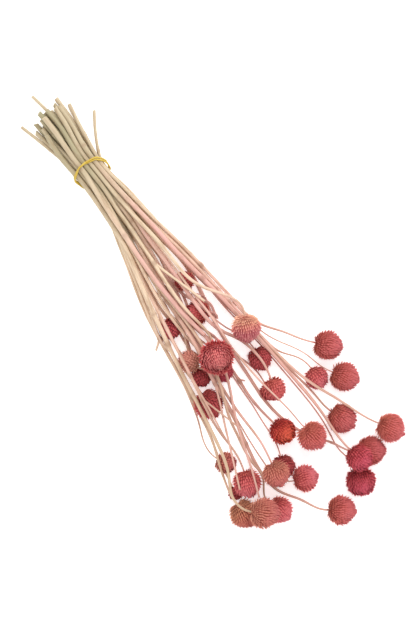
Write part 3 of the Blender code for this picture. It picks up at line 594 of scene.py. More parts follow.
@dataclass
class Settling:
    """Lets the strands sink onto the surface and onto each other, as stiff dried stems do."""

    strands: List[Strand]
    fixed: int = CUT_POINTS
    lead_pieces: int = 4
    fork_pieces: int = 3
    gap: float = GAP
    settle_steps: int = 420
    clear_steps: int = 400
    sink: float = 0.035
    stiff: float = 0.35
    home_pull: float = 0.985
    upright_push: float = 2.2
    settle_pushes: int = 2
    settle_strength: float = 1.2
    clear_strength: float = 1.4
    settle_renew: int = 10
    clear_renew: int = 20
    least_lever: float = 0.3
    most_push: float = 1.5
    near: float = 5.0
    start: Array = field(init=False)
    home: Array = field(init=False)
    point: Array = field(init=False)
    size: Array = field(init=False)
    free: Array = field(init=False)
    ends: Array = field(init=False)
    radii: Array = field(init=False)
    allowed: Array = field(init=False)

    def __post_init__(self) -> None:
        """Join the strands' points into one array and list the straight pieces and balls that may meet."""
        strands = self.strands
        self.start = np.cumsum([0] + [len(s.points) for s in strands])
        self.home = np.vstack([s.points for s in strands])
        self.point = self.home.copy()
        self.size = np.concatenate([s.radius for s in strands])
        self.free = np.ones(len(self.home))
        ends, radii, owner, order = [], [], [], []
        for i, strand in enumerate(strands):
            first = self.start[i]
            for k in range(strand.body - 1):
                ends.append((first + k, first + k + 1))
                radii.append((strand.radius[k], strand.radius[k + 1]))
                owner.append(i)
                order.append(k)
            if strand.head:
                last = first + strand.body
                ends.append((last, last))
                radii.append((strand.head, strand.head))
                owner.append(i)
                order.append(NO_ORDER)
                self.size[last] = strand.head
            if strand.parent < 0:
                self.free[first + self.fixed] = 0.0
        self.ends, self.radii = np.array(ends), np.array(radii)
        self.allowed = self.may_meet(np.array(owner), np.array(order))

    def may_meet(self, owner: Array, order: Array) -> Array:
        """List which pairs can touch.

        Two straight pieces of one strand can't, nor can a branch's root and its stem near the fork. A head
        can touch its own stem where the stem bends back, away from the last pieces that lead into it.

        Args:
            owner: The strand of each straight piece.
            order: Its place in the strand.

        Returns:
            A table of true and false over all pairs.
        """
        allowed = np.triu(owner[:, None] != owner[None, :], 1)
        for i, strand in enumerate(self.strands):
            early = (owner == i) & (order >= 0) & (order < strand.body - self.lead_pieces)
            allowed[np.ix_(np.flatnonzero(early), np.flatnonzero((owner == i) & (order == NO_ORDER)))] = True
            if strand.parent < 0:
                continue
            root = np.flatnonzero((owner == i) & (order >= 0) & (order <= 1))
            from_fork = np.abs(order - strand.fork + 0.5)
            near = np.flatnonzero((owner == strand.parent) & (from_fork < self.fork_pieces))
            allowed[np.ix_(root, near)] = False
            allowed[np.ix_(near, root)] = False
        return allowed

    def near_pairs(self, margin: float) -> Tuple[Array, Array]:
        """List the pairs that lie near each other, judged by the balls round them.

        Args:
            margin: How far apart two balls may be.

        Returns:
            The first and the second straight piece of each pair.
        """
        p, q = self.point[self.ends[:, 0]], self.point[self.ends[:, 1]]
        middle, reach = (p + q) / 2, np.linalg.norm(q - p, axis=1) / 2 + self.radii.max(axis=1)
        far = np.linalg.norm(middle[:, None] - middle[None, :], axis=2)
        return np.nonzero(self.allowed & (far < reach[:, None] + reach[None, :] + margin))

    def push_apart(self, pairs: Tuple[Array, Array], upright: float, strength: float) -> None:
        """Move each pair that is too close apart along the line between its nearest points.

        Args:
            pairs: The pairs to look at.
            upright: Above 1, the move is mostly upward and downward.
            strength: The share of the missing clearance that one push gives.
        """
        (i, j), ends = pairs, self.ends
        p0, p1 = self.point[ends[i, 0]], self.point[ends[i, 1]]
        q0, q1 = self.point[ends[j, 0]], self.point[ends[j, 1]]
        s, t = closest(p0, p1, q0, q1)
        step = (p0 + (p1 - p0) * s[:, None]) - (q0 + (q1 - q0) * t[:, None])
        thick = (self.radii[i, 0] * (1 - s) + self.radii[i, 1] * s
                 + self.radii[j, 0] * (1 - t) + self.radii[j, 1] * t)
        clear = np.linalg.norm(step, axis=1) - thick
        hit = clear < self.gap
        if not hit.any():
            return
        i, j, s, t = i[hit], j[hit], s[hit], t[hit]
        step, short = step[hit], self.gap - clear[hit]
        distance = np.maximum(np.linalg.norm(step, axis=1), TINY)
        normal = step / distance[:, None]
        way = normal * np.array((1.0, 1.0, upright))
        way /= np.maximum(np.linalg.norm(way, axis=1), TINY)[:, None]
        push = np.minimum(short / np.maximum((way * normal).sum(1), self.least_lever), self.most_push)
        share = np.stack((1 - s, s, 1 - t, t), axis=1)
        sign = np.array((1.0, 1.0, -1.0, -1.0))
        index = np.stack((ends[i, 0], ends[i, 1], ends[j, 0], ends[j, 1]), axis=1)
        give = share * self.free[index]
        total = np.maximum((give * share).sum(1), TINY)
        move = (give * sign * (push / total)[:, None])[..., None] * way[:, None, :]
        sums = np.zeros_like(self.point)
        count = np.zeros(len(self.point))
        np.add.at(sums, index.ravel(), move.reshape(-1, 3))
        np.add.at(count, index.ravel(), give.ravel() > TINY)
        self.point += sums / np.maximum(count, 1.0)[:, None] * strength
        self.join_roots()

    def join_roots(self) -> None:
        """Keep the surface under everything, and each side branch's root on its stem."""
        self.point[:, 2] = np.maximum(self.point[:, 2], self.size)
        for i, strand in enumerate(self.strands):
            if strand.parent >= 0:
                self.point[self.start[i]] = self.point[self.start[strand.parent] + strand.fork]

    def relax(self) -> None:
        """Sink a little, spread each shift along its strand, and drift back to the places seen from above."""
        shift = self.point - self.home
        shift[:, 2] -= self.sink * self.free
        shift[:, :2] *= self.home_pull
        for i, strand in enumerate(self.strands):
            part = shift[self.start[i]:self.start[i + 1]]
            free = self.free[self.start[i] + 1:self.start[i + 1] - 1, None]
            part[1:-1] += ((part[:-2] + part[2:]) / 2 - part[1:-1]) * self.stiff * free
            if strand.head:
                part[-1] += (part[-2] - part[-1]) * self.stiff
        self.point = self.home + shift
        self.join_roots()

    def run(self) -> List[Array]:
        """Settle, then clear what still touches.

        Returns:
            Each strand's points.
        """
        for step in range(self.settle_steps):
            if step % self.settle_renew == 0:
                pairs = self.near_pairs(self.near)
            self.relax()
            for _ in range(self.settle_pushes):
                self.push_apart(pairs, self.upright_push, self.settle_strength)
        for step in range(self.clear_steps):
            if step % self.clear_renew == 0:
                pairs = self.near_pairs(self.near)
            self.push_apart(pairs, 1.0, self.clear_strength)
        self.point = np.round(self.point, 2)
        self.join_roots()
        return [self.point[a:b] for a, b in zip(self.start, self.start[1:])]


# Shader nodes as expressions.

class Wire:
    """A shader socket's output on which Python's operators build Math nodes."""

    def __init__(self, graph: "Graph", socket: bpy.types.NodeSocket) -> None:
        """Keep the graph and the socket."""
        self.graph = graph
        self.socket = socket

    def math(self, operation: str, first: Any, second: Any = 0.0, clamp: bool = False) -> "Wire":
        """Add a Math node.

        Args:
            operation: The node's operation.
            first: Its first value or wire.
            second: Its second value or wire.
            clamp: Whether the result is kept from 0 to 1.

        Returns:
            The node's output.
        """
        return self.graph.add("ShaderNodeMath", {"operation": operation, "use_clamp": clamp},
                              {0: first, 1: second})

    def __add__(self, other: Any) -> "Wire":
        """Return self + other."""
        return self.math("ADD", self, other)

    def __radd__(self, other: Any) -> "Wire":
        """Return other + self."""
        return self.math("ADD", other, self)

    def __sub__(self, other: Any) -> "Wire":
        """Return self - other."""
        return self.math("SUBTRACT", self, other)

    def __rsub__(self, other: Any) -> "Wire":
        """Return other - self."""
        return self.math("SUBTRACT", other, self)

    def __mul__(self, other: Any) -> "Wire":
        """Return self * other."""
        return self.math("MULTIPLY", self, other)

    def __rmul__(self, other: Any) -> "Wire":
        """Return other * self."""
        return self.math("MULTIPLY", other, self)

    def __pow__(self, other: Any) -> "Wire":
        """Return self to the power other."""
        return self.math("POWER", self, other)

    def held(self) -> "Wire":
        """Return self kept from 0 to 1."""
        return self.math("ADD", self, 0.0, clamp=True)


class Graph:
    """The node tree of one material."""

    def __init__(self, name: str) -> None:
        """Start a material with a Principled shader.

        Args:
            name: The material's name.
        """
        self.material = bpy.data.materials.new(name)
        self.material.use_nodes = True
        self.tree = self.material.node_tree
        self.shader = self.tree.nodes["Principled BSDF"]

    def feed(self, socket: bpy.types.NodeSocket, value: Any) -> None:
        """Link a wire to a socket, or set the socket's own value.

        Args:
            socket: The socket.
            value: A wire, a number or a colour.
        """
        if isinstance(value, Wire):
            self.tree.links.new(value.socket, socket)
        elif isinstance(value, tuple) and len(value) == 3 and socket.type == "RGBA":
            socket.default_value = (*value, 1.0)
        else:
            socket.default_value = value

    def add(self, kind: str, settings: Optional[Dict[str, Any]] = None,
            values: Optional[Dict[Union[int, str], Any]] = None, output: Union[int, str] = 0) -> Wire:
        """Add a node.

        Args:
            kind: The node's type.
            settings: Its settings, which are set first; stops are a ramp's positions and colours.
            values: The values or wires of its sockets.
            output: Which of its outputs to return.

        Returns:
            That output.
        """
        node = self.tree.nodes.new(kind)
        for name, value in (settings or {}).items():
            if name == "stops":
                ramp = node.color_ramp.elements
                while len(ramp) < len(value):
                    ramp.new(1.0)
                for stop, (position, color) in zip(ramp, value):
                    stop.position = position
                    stop.color = (*color, 1.0)
            else:
                setattr(node, name, value)
        for name, value in (values or {}).items():
            self.feed(node.inputs[name], value)
        return Wire(self, node.outputs[output])

    def attribute(self, name: str, output: str = "Fac") -> Wire:
        """Read one of the mesh's own attributes."""
        return self.add("ShaderNodeAttribute", {"attribute_name": name}, {}, output)

    def parts(self, vector: Wire) -> Tuple[Wire, Wire, Wire]:
        """Split a vector.

        Args:
            vector: The vector.

        Returns:
            Its three numbers.
        """
        split = self.add("ShaderNodeSeparateXYZ", {}, {0: vector})
        node = split.socket.node
        return split, Wire(self, node.outputs[1]), Wire(self, node.outputs[2])

    def blend(self, share: Any, first: Any, second: Any, way: str = "MIX") -> Wire:
        """Mix two colours.

        Args:
            share: How much of the second colour shows, from 0 to 1.
            first: The first colour.
            second: The second colour.
            way: The kind of mix.

        Returns:
            The mixed colour.
        """
        return self.add("ShaderNodeMix", {"data_type": "RGBA", "blend_type": way},
                        {MIX_SHARE: share, MIX_FIRST: first, MIX_SECOND: second}, MIX_RESULT)

    def noise(self, where: Wire, scale: float, detail: float = 2.0, roughness: float = 0.5) -> Wire:
        """Return soft noise about 0.5 at a place, as a number."""
        return self.add("ShaderNodeTexNoise", {}, {"Vector": where, "Scale": scale, "Detail": detail,
                                                    "Roughness": roughness})

    def finish(self, color: Wire, roughness: Any, height: Wire, depth: float,
               gloss: float) -> bpy.types.Material:
        """Wire up the shader.

        Args:
            color: The base colour.
            roughness: The roughness.
            height: The relief, from 0 to 1.
            depth: How deep the relief is, in metres.
            gloss: The specular level, a constant.

        Returns:
            The material.
        """
        bump = self.add("ShaderNodeBump", {}, {"Height": height, "Distance": depth, "Strength": 1.0})
        self.feed(self.shader.inputs["Base Color"], color)
        self.feed(self.shader.inputs["Roughness"], roughness)
        self.feed(self.shader.inputs["Normal"], bump)
        self.feed(self.shader.inputs["Specular IOR Level"], gloss)
        return self.material


# Finishes.

@dataclass(frozen=True)
class BractFinish:
    """Dyed papery bracts: colours from the head's base to its tip, the painted shade of the grooves and the
    painted highlight of the keels.
    """

    tone: Tone
    base: Color
    body: Color
    tip: Color
    # The painted shade of the grooves, where the bracts lie low.
    groove: Color
    # edge: the painted highlight of the keels, and the real paleness of the dry tips.
    edge: Color
    crown: Optional[Color] = None
    # The strength of the painted highlight along the keels.
    painted_highlight: float = 0.3
    fade: float = 1.0
    fade_at: float = 0.4
    body_at: float = 0.4
    tip_at: float = 0.8
    patch_scale: float = 95.0
    fibre_scale: float = 1500.0
    patchy: float = 0.4
    uneven: float = 0.08
    crown_from: float = 0.90
    crown_sharp: float = 14.0
    # keel_out, growth_out and sunk set where the painted groove shade gives way to the colour.
    keel_out: float = 1.1
    growth_out: float = 0.9
    sunk: float = 0.41
    # How much the tips lighten: partly the real paleness of the dry tips, partly painted highlight.
    dry_tip_and_highlight: float = 0.1
    dry_tip_and_highlight_chance: float = 0.25
    shade: float = 0.35
    shade_dark: Color = (0.25, 0.25, 0.25)
    shade_light: Color = (0.75, 0.75, 0.75)
    matt: float = 0.62
    matt_more: float = 0.25
    fibre_deep: float = 0.00012
    gloss: float = 0.28

    def material(self) -> bpy.types.Material:
        """Build the material.

        The colour runs from base over body, at fade_at, to tip: the faster the larger fade is. It is mixed
        from the painted shade of the grooves to that colour by how far out the bract stands there, then given
        a painted highlight along the keels and at the tips, where the paleness of the dry tips is partly
        real. Each bract and patch is a little lighter or darker than the next.

        Returns:
            The material.
        """
        graph = Graph("dried bracts, " + self.tone.value)
        place, growth, chance = graph.parts(graph.attribute("bract", "Vector"))
        keel = graph.attribute("keel")
        where = graph.add("ShaderNodeTexCoord", output="Object")
        patch = graph.noise(where, self.patch_scale)
        fibre = graph.noise(where, self.fibre_scale)
        spread = (place - self.fade_at) * self.fade + self.body_at
        spread = (spread + (patch - 0.5) * self.patchy + (chance - 0.5) * self.uneven).held()
        color = graph.add("ShaderNodeValToRGB", {"stops": (
            (0.0, self.base), (self.body_at, self.body), (self.tip_at, self.tip))}, {0: spread})
        if self.crown is not None:
            color = graph.blend(((place - self.crown_from) * self.crown_sharp).held(), color, self.crown)
        # Painted shade: the grooves' dark where the bract lies low, near its root and its edges.
        outward = (keel * self.keel_out + growth * self.growth_out - self.sunk).held()
        color = graph.blend(outward, self.groove, color)
        # Painted highlight along the keels and at the tips, where the paleness of the dry tips is partly
        # real.
        painted_highlight = keel ** 3.0 * self.painted_highlight + growth ** 4.0 * (self.dry_tip_and_highlight + chance * self.dry_tip_and_highlight_chance)
        color = graph.blend(painted_highlight.held(), color, self.edge)
        shade = graph.blend((patch * 0.7 + chance * 0.3).held(), self.shade_dark, self.shade_light)
        color = graph.blend(self.shade, color, shade, "SOFT_LIGHT")
        rough = self.matt + fibre * self.matt_more
        return graph.finish(color, rough, fibre, self.fibre_deep, self.gloss)


@dataclass(frozen=True)
class StemFinish:
    """Dry fibrous stem: straw, sage at the cut end, and the pink that the dye left."""

    straw: Color = (0.54, 0.39, 0.25)
    bright: Color = (0.74, 0.575, 0.41)
    sage: Color = (0.27, 0.255, 0.14)
    blush: Color = (0.60, 0.33, 0.265)
    rose: Color = (0.70, 0.40, 0.35)
    fleck: Color = (0.24, 0.11, 0.065)
    pith: Color = (0.66, 0.56, 0.40)
    streak_scale: float = 1.5
    thread_scale: float = 7.0
    patch_scale: float = 38.0
    straw_contrast: float = 3.0
    straw_start: float = 1.2
    pink_contrast: float = 2.8
    pink_start: float = 1.05
    brown_below: float = 0.46
    brown: float = 0.4
    fleck_above: float = 0.60
    flecked: float = 0.4
    joint_dark: float = 0.45
    matt: float = 0.58
    matt_more: float = 0.2
    fibre_deep: float = 0.00035
    gloss: float = 0.3

    def material(self) -> bpy.types.Material:
        """Build the material.

        Long thin streaks run with the stem between straw and its bright tone, and the stem's own brightness,
        which carries painted shade among the heads, moves the straw and the pink towards their lighter tones.
        Sage and then pink, streaked too, are mixed over them by the stem's own tint. The darkest streaks turn
        brown, small flecks are set in, joints are darkened, and the cut face shows the pale pith. The streaks
        are also the relief.

        Returns:
            The material.
        """
        graph = Graph("dry stem fibre")
        blush, sage, bright = graph.parts(graph.attribute("tint", "Vector"))
        joint, pith, chance = graph.parts(graph.attribute("wear", "Vector"))
        grain = graph.attribute("grain", "Vector")
        streak = graph.noise(grain, self.streak_scale, 3.0, 0.65)
        thread = graph.noise(grain, self.thread_scale)
        where = graph.add("ShaderNodeTexCoord", output="Object")
        patch = graph.noise(where, self.patch_scale)
        # bright, the third part of the stem's attribute, drifts at random and holds the painted shade among
        # the heads; it lightens the straw and the pink.
        color = graph.blend((streak * self.straw_contrast - self.straw_start + bright * 0.6).held(),
                            self.straw, self.bright)
        color = graph.blend((sage * (0.65 + streak * 0.7)).held(), color, self.sage)
        pink = graph.blend((streak * self.pink_contrast - self.pink_start + bright * 0.35).held(),
                           self.blush, self.rose)
        color = graph.blend((blush * (0.24 + patch * 0.9 + streak * 1.3)).held(), color, pink)
        color = graph.blend(((self.brown_below - streak) * 4.0).held() * self.brown, color, self.fleck)
        flecks = ((thread - self.fleck_above) * 6.0 * (0.35 + sage)).held() * self.flecked
        color = graph.blend(flecks, color, self.fleck)
        color = graph.blend((joint * self.joint_dark).held(), color, self.fleck)
        color = graph.blend((pith * (0.5 + chance * 0.5)).held(), color, self.pith)
        rough = self.matt + thread * self.matt_more
        return graph.finish(color, rough, (streak * 0.6 + thread * 0.4).held(), self.fibre_deep, self.gloss)


@dataclass(frozen=True)
class RubberFinish:
    """Golden yellow rubber, satin, with a chalky bloom."""

    gold: Color = (0.54, 0.36, 0.03)
    pale: Color = (0.68, 0.50, 0.09)
    deep: Color = (0.36, 0.21, 0.015)
    patch_scale: float = 260.0
    grain_scale: float = 2600.0
    matt: float = 0.36
    matt_more: float = 0.2
    grain_deep: float = 0.00004
    gloss: float = 0.5

    def material(self) -> bpy.types.Material:
        """Build the material: gold with paler bloom and darker worn patches, over a fine grain.

        Returns:
            The material.
        """
        graph = Graph("golden satin rubber")
        where = graph.add("ShaderNodeTexCoord", output="Object")
        patch = graph.noise(where, self.patch_scale, 3.0)
        grain = graph.noise(where, self.grain_scale)
        color = graph.blend((patch * 2.2 - 0.9).held(), self.gold, self.pale)
        color = graph.blend((0.75 - patch * 1.7).held(), color, self.deep)
        rough = self.matt + grain * self.matt_more
        return graph.finish(color, rough, grain, self.grain_deep, self.gloss)


# Each finish gives the base, body and tip colours, the painted shade of the grooves, and the edge colour: the
# painted highlight of the keels and the pale dry tips.
BRACTS: Tuple[BractFinish, ...] = (
    BractFinish(Tone.DUSTY, (0.58, 0.167, 0.095), (0.58, 0.116, 0.102), (0.56, 0.116, 0.133),
                (0.31, 0.041, 0.033), (0.71, 0.22, 0.194)),
    BractFinish(Tone.ROSE, (0.66, 0.168, 0.113), (0.67, 0.126, 0.125), (0.61, 0.132, 0.170),
                (0.34, 0.036, 0.043), (0.86, 0.29, 0.26)),
    BractFinish(Tone.MAGENTA, (0.54, 0.075, 0.066), (0.54, 0.060, 0.075), (0.56, 0.070, 0.123),
                (0.26, 0.018, 0.026), (0.76, 0.190, 0.194)),
    BractFinish(Tone.CRIMSON, (0.54, 0.097, 0.074), (0.50, 0.068, 0.074), (0.41, 0.040, 0.057),
                (0.193, 0.016, 0.020), (0.66, 0.182, 0.159)),
    BractFinish(Tone.CORAL, (0.69, 0.163, 0.110), (0.64, 0.120, 0.110), (0.57, 0.082, 0.100),
                (0.33, 0.038, 0.034), (0.77, 0.27, 0.22)),
    BractFinish(Tone.SCARLET, (0.47, 0.053, 0.042), (0.61, 0.063, 0.050), (0.72, 0.116, 0.060),
                (0.29, 0.019, 0.017), (0.75, 0.137, 0.097)),
    BractFinish(Tone.PEACH, (0.82, 0.44, 0.27), (0.68, 0.21, 0.170), (0.41, 0.057, 0.096),
                (0.37, 0.052, 0.059), (0.90, 0.52, 0.41), fade=2.8, fade_at=0.36),
    BractFinish(Tone.FADED, (0.63, 0.27, 0.153), (0.58, 0.173, 0.112), (0.43, 0.068, 0.066),
                (0.22, 0.047, 0.031), (0.74, 0.34, 0.21), fade=1.7, fade_at=0.47),
    BractFinish(Tone.PALE, (0.74, 0.41, 0.28), (0.66, 0.29, 0.21), (0.58, 0.20, 0.160),
                (0.32, 0.085, 0.062), (0.78, 0.43, 0.32)),
    BractFinish(Tone.MUTED, (0.62, 0.27, 0.165), (0.57, 0.170, 0.121), (0.50, 0.099, 0.110),
                (0.29, 0.050, 0.038), (0.71, 0.31, 0.23)),
    BractFinish(Tone.SMOKED, (0.72, 0.168, 0.159), (0.67, 0.121, 0.127), (0.50, 0.068, 0.085),
                (0.31, 0.023, 0.034), (0.90, 0.35, 0.31), crown=(0.192, 0.079, 0.064), painted_highlight=0.8),
)


# Pieces.

@dataclass(frozen=True)
class Surface:
    """Points, faces and vertex attributes of one closed part of a mesh, in the bunch's millimetres."""

    points: Array
    faces: List[Tuple[int, ...]]
    marks: Dict[str, Array]


@dataclass
class Workshop:
    """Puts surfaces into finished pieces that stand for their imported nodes."""

    shift: Array
    crease: float = math.radians(48)
    made: int = 0

    def piece(self, name: str, node: str, surfaces: Sequence[Surface],
              material: bpy.types.Material) -> None:
        """Join surfaces into one mesh object at the origin, with its place in its mesh.

        Args:
            name: The piece's name.
            node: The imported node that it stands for.
            surfaces: The closed surfaces.
            material: The finish.
        """
        points = np.vstack([s.points for s in surfaces])
        starts = np.cumsum([0] + [len(s.points) for s in surfaces])
        faces = [tuple(i + start for i in face)
                 for s, start in zip(surfaces, starts.tolist()) for face in s.faces]
        mesh = bpy.data.meshes.new(name)
        mesh.from_pydata(((points + self.shift) * MM).tolist(), [], faces)
        for key in surfaces[0].marks:
            values = np.concatenate([s.marks[key] for s in surfaces]).astype(np.float32)
            kind, entry = ("FLOAT", "value") if values.ndim == 1 else ("FLOAT_VECTOR", "vector")
            mesh.attributes.new(key, kind, "POINT").data.foreach_set(entry, values.ravel())
        mesh.shade_smooth()
        mesh.set_sharp_from_angle(angle=self.crease)
        mesh.materials.append(material)
        thing = bpy.data.objects.new(name, mesh)
        bpy.context.scene.collection.objects.link(thing)
        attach(thing, "root")
        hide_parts(node)
        self.made += 1
        LOG.info("%s: %d faces", name, len(faces))


def ring_faces(rings: int, sides: int, closed: bool = False) -> List[Tuple[int, ...]]:
    """List the four-sided faces between neighbouring rings of a tube.

    Args:
        rings: How many rings the tube has.
        sides: How many points a ring has.
        closed: Whether the last ring joins the first.

    Returns:
        The faces.
    """
    low = np.arange(rings if closed else rings - 1)[:, None] * sides
    high = (low + sides) % (rings * sides)
    side = np.arange(sides)[None, :]
    after = (side + 1) % sides
    return np.stack((low + side, low + after, high + after, high + side), axis=-1).reshape(-1, 4).tolist()


def tube_frame(points: Array) -> Tuple[Array, Array, Array]:
    """Work out the directions ahead, sideways (level) and upward at each point of a line.

    Args:
        points: The line.

    Returns:
        The three directions of each point.
    """
    ahead = unit(np.gradient(points, axis=0))
    side = unit(np.cross(ahead, (0.0, 0.0, 1.0)))
    return ahead, side, np.cross(side, ahead)


@dataclass(frozen=True)
class DriedStem:
    """One stem with its side branch and twigs: ribbed, jointed, tapering tubes."""

    number: int
    stem: Stem
    strands: List[Strand]
    lines: List[Array]
    sides: int = 15
    step: float = 2.4
    rib_count: int = 5
    rib_depth: float = 0.045
    flat: float = 0.05
    uneven: float = 0.045
    joint_most: float = 0.26
    joint_reach: float = 2.3
    joint_spacing: Tuple[float, float] = (52.0, 92.0)
    joint_sizes: Tuple[float, float] = (0.35, 1.0)
    first_joint: float = 0.6
    plain_end: float = 25.0
    fork_swell: float = 0.5
    fork_past: float = 1.0
    rib_turn: float = 45.0
    slant: float = 0.45
    slants: Tuple[float, float] = (0.2, 1.4)
    splinter: float = 1.1
    sunk: float = SEAT_GAP + 0.6
    least_rings: int = 8
    fork_mark: float = FORK_SWELL
    streak_length: float = 26.0
    grain_reach: float = 0.5
    grain_start: float = 50.0
    cap_inner: float = 0.6
    cap_step: float = 0.08
    cap_deep: float = 0.45
    drift_waves: Tuple[float, ...] = (37.0, 71.0, 130.0)
    bright_waves: Tuple[float, ...] = (55.0, 160.0)
    girth_waves: Tuple[float, ...] = (9.0, 23.0, 61.0)
    pink_before: float = 40.0
    pink_after: float = 110.0
    pink_drift: float = 14.0
    sage_least: float = 0.34
    sage_more: float = 0.5
    sage_span: Tuple[float, float] = (-20.0, 100.0)
    sage_drift: float = 18.0
    bright_most: float = 1.0
    bright_wave: float = 0.4
    bright_odd: Tuple[float, float] = (-0.2, 0.3)
    # Painted shade among the heads: how much darker the straw gets, and over which span along the bunch.
    painted_shade_fall: float = 1.3
    painted_shade_span: Tuple[float, float] = (130.0, 210.0)

    def centre(self, strand: Strand, line: Array) -> Tuple[Array, Array]:
        """Draw the smooth line and the plain taper of one strand, sunk a little into its head.

        Args:
            strand: The strand.
            line: Its settled points.

        Returns:
            The points of the line and the radius at each.
        """
        body = line[:strand.body].copy()
        radius = strand.radius[:strand.body].copy()
        if strand.parent < 0:
            for other in self.strands:
                if other.parent >= 0:
                    radius[other.fork] /= self.fork_mark
        if strand.head:
            body[-1] += unit(line[-1] - body[-1]) * self.sunk
        gone = run_along(body)
        count = max(self.least_rings, round(gone[-1] / self.step))
        points = smooth_line(body, count, fine_steps=max(400, count * 3))
        run = run_along(points)
        return points, np.interp(run / run[-1] * gone[-1], gone, radius)

    def joints(self, strand: Strand, run: Array, points: Array, draw: np.random.Generator) -> Array:
        """Swell the stem at its joints and forks: a rounded bump of joint_reach on each side of each one.

        Args:
            strand: The strand.
            run: How far along the line each ring lies.
            points: The rings' middles.
            draw: The source of chance.

        Returns:
            How swollen each ring is, from 0 to about 1.
        """
        spots, at = [], draw.uniform(*self.joint_spacing) * self.first_joint
        while strand.body > CUT_POINTS and at < run[-1] - self.plain_end:
            spots.append((at, draw.uniform(*self.joint_sizes)))
            at += draw.uniform(*self.joint_spacing)
        if strand.parent < 0:
            for other, line in zip(self.strands, self.lines):
                if other.parent >= 0:
                    nearest = np.argmin(np.linalg.norm(points - line[0], axis=1))
                    spots.append((run[nearest] + self.fork_past, 1.0 + self.fork_swell))
        swell = np.zeros(len(run))
        for spot, size in spots:
            swell = np.maximum(swell, size * np.exp(-((run - spot) / self.joint_reach) ** 2))
        return swell

    def tint(self, points: Array, run: Array, draw: np.random.Generator) -> Array:
        """Work out a strand's dye: sage fades past the tie, pink grows from its start, the rest is straw.

        The straw is brightest in the middle of the bunch, and painted shade makes it darker among the heads.

        Args:
            points: The rings' middles.
            run: How far along the line each ring lies.
            draw: The source of chance.

        Returns:
            Blush, sage and brightness for each ring; the brightness holds the painted shade among the heads.
        """
        hue, along = self.stem.hue, points[:, 0]
        drift = waves(run, self.drift_waves, draw)
        blush = hue.blush * smooth_step(hue.pink_from - self.pink_before, hue.pink_from + self.pink_after,
                                        along + drift * self.pink_drift)
        sage = self.sage_least + self.sage_more * hue.sage
        sage = sage * (1 - smooth_step(*self.sage_span, along + drift * self.sage_drift))
        bright = self.bright_most + self.bright_wave * waves(run, self.bright_waves, draw)
        bright = bright + draw.uniform(*self.bright_odd)
        # Painted shade: the straw is darkened among the heads.
        bright = bright - self.painted_shade_fall * smooth_step(*self.painted_shade_span, along)
        return np.stack((blush, sage, bright), axis=1)

    def tube(self, strand: Strand, line: Array, draw: np.random.Generator) -> Surface:
        """Carry a ribbed ring along the strand's line.

        The radius is the taper times one plus a flattening (the cosine of twice the turn), ribs (the cosine
        of rib_count times the turn, slowly twisting) and a long unevenness, plus the swelling of the joints.
        The start is cut on a slant, or hidden inside its stem. A broken end is splintered, and each end is
        closed by an inner ring and a point.

        Args:
            strand: The strand.
            line: Its settled points.
            draw: The source of chance.

        Returns:
            The closed surface.
        """
        points, radius = self.centre(strand, line)
        run = run_along(points)
        ahead, side, up = tube_frame(points)
        turn = (np.arange(self.sides) + 0.5) * math.tau / self.sides
        phase = draw.uniform(0, math.tau, 3)
        swell = self.joints(strand, run, points, draw)
        form = 1 + self.flat * np.cos(2 * turn + phase[0])[None, :]
        ribs = np.cos(self.rib_count * turn[None, :] + phase[1] + run[:, None] / self.rib_turn)
        form = form + self.rib_depth * ribs
        form = form + (self.uneven * waves(run, self.girth_waves, draw) + self.joint_most * swell)[:, None]
        rings = points[:, None] + spokes(turn, up, side) * (radius[:, None] * form)[..., None]
        if strand.parent < 0:
            lean = np.cos(turn + phase[2]) * self.slant * radius[0] * draw.uniform(*self.slants)
            rings[0] += ahead[0] * lean[:, None]
        if not strand.head:
            rings[-1] += ahead[-1] * (draw.uniform(-1, 1, self.sides) * self.splinter * radius[-1])[:, None]
        tint, chance = self.tint(points, run, draw), draw.uniform(0, 1)
        spots, faces, marks = self.close(rings, strand)
        owner = np.concatenate((np.repeat(np.arange(len(run)), self.sides),
                                np.zeros(self.sides + 1, int), np.full(self.sides + 1, len(run) - 1)))
        around = np.concatenate((np.tile(turn, len(run)), turn, (0.0,), turn, (0.0,)))
        offset = draw.uniform(0, self.grain_start)
        grain = np.stack((np.cos(around) * self.grain_reach, np.sin(around) * self.grain_reach,
                          run[owner] / self.streak_length + offset), axis=1)
        wear = np.stack((np.clip(swell[owner], 0, 1) ** 2, marks, np.full(len(owner), chance)), axis=1)
        return Surface(spots, faces, {"tint": tint[owner], "grain": grain, "wear": wear})

    def close(self, rings: Array, strand: Strand) -> Tuple[Array, List[Tuple[int, ...]], Array]:
        """Close a tube's two ends, each with a smaller inner ring and a sunken middle point.

        Args:
            rings: The tube's rings.
            strand: The strand.

        Returns:
            The points, the faces, and which points show the pith.
        """
        sides, count = self.sides, len(rings)
        caps = []
        for ring, inward in ((rings[0], rings[1] - rings[0]), (rings[-1], rings[-2] - rings[-1])):
            middle = ring.mean(axis=0)
            way = unit(inward.mean(axis=0))
            inner = middle + (ring - middle) * self.cap_inner + way * self.cap_step
            caps.append((inner, middle + way * self.cap_deep))
        spots = np.vstack((rings.reshape(-1, 3), caps[0][0], caps[0][1], caps[1][0], caps[1][1]))
        faces = ring_faces(count, sides)
        side = np.arange(sides)
        after = (side + 1) % sides
        ends = (0, count * sides, False), ((count - 1) * sides, (count + 1) * sides + 1, True)
        for ring, inner, flip in ends:
            band = np.stack((ring + after, ring + side, inner + side, inner + after), axis=1)
            fan = np.stack((inner + after, inner + side, np.full(sides, inner + sides)), axis=1)
            for part in (band, fan):
                faces.extend((part[:, ::-1] if flip else part).tolist())
        pith = np.zeros(len(spots))
        if strand.parent < 0:
            pith[count * sides:(count + 1) * sides + 1] = 1.0
        if not strand.head:
            pith[(count + 1) * sides + 1:] = 1.0
        return spots, faces, pith

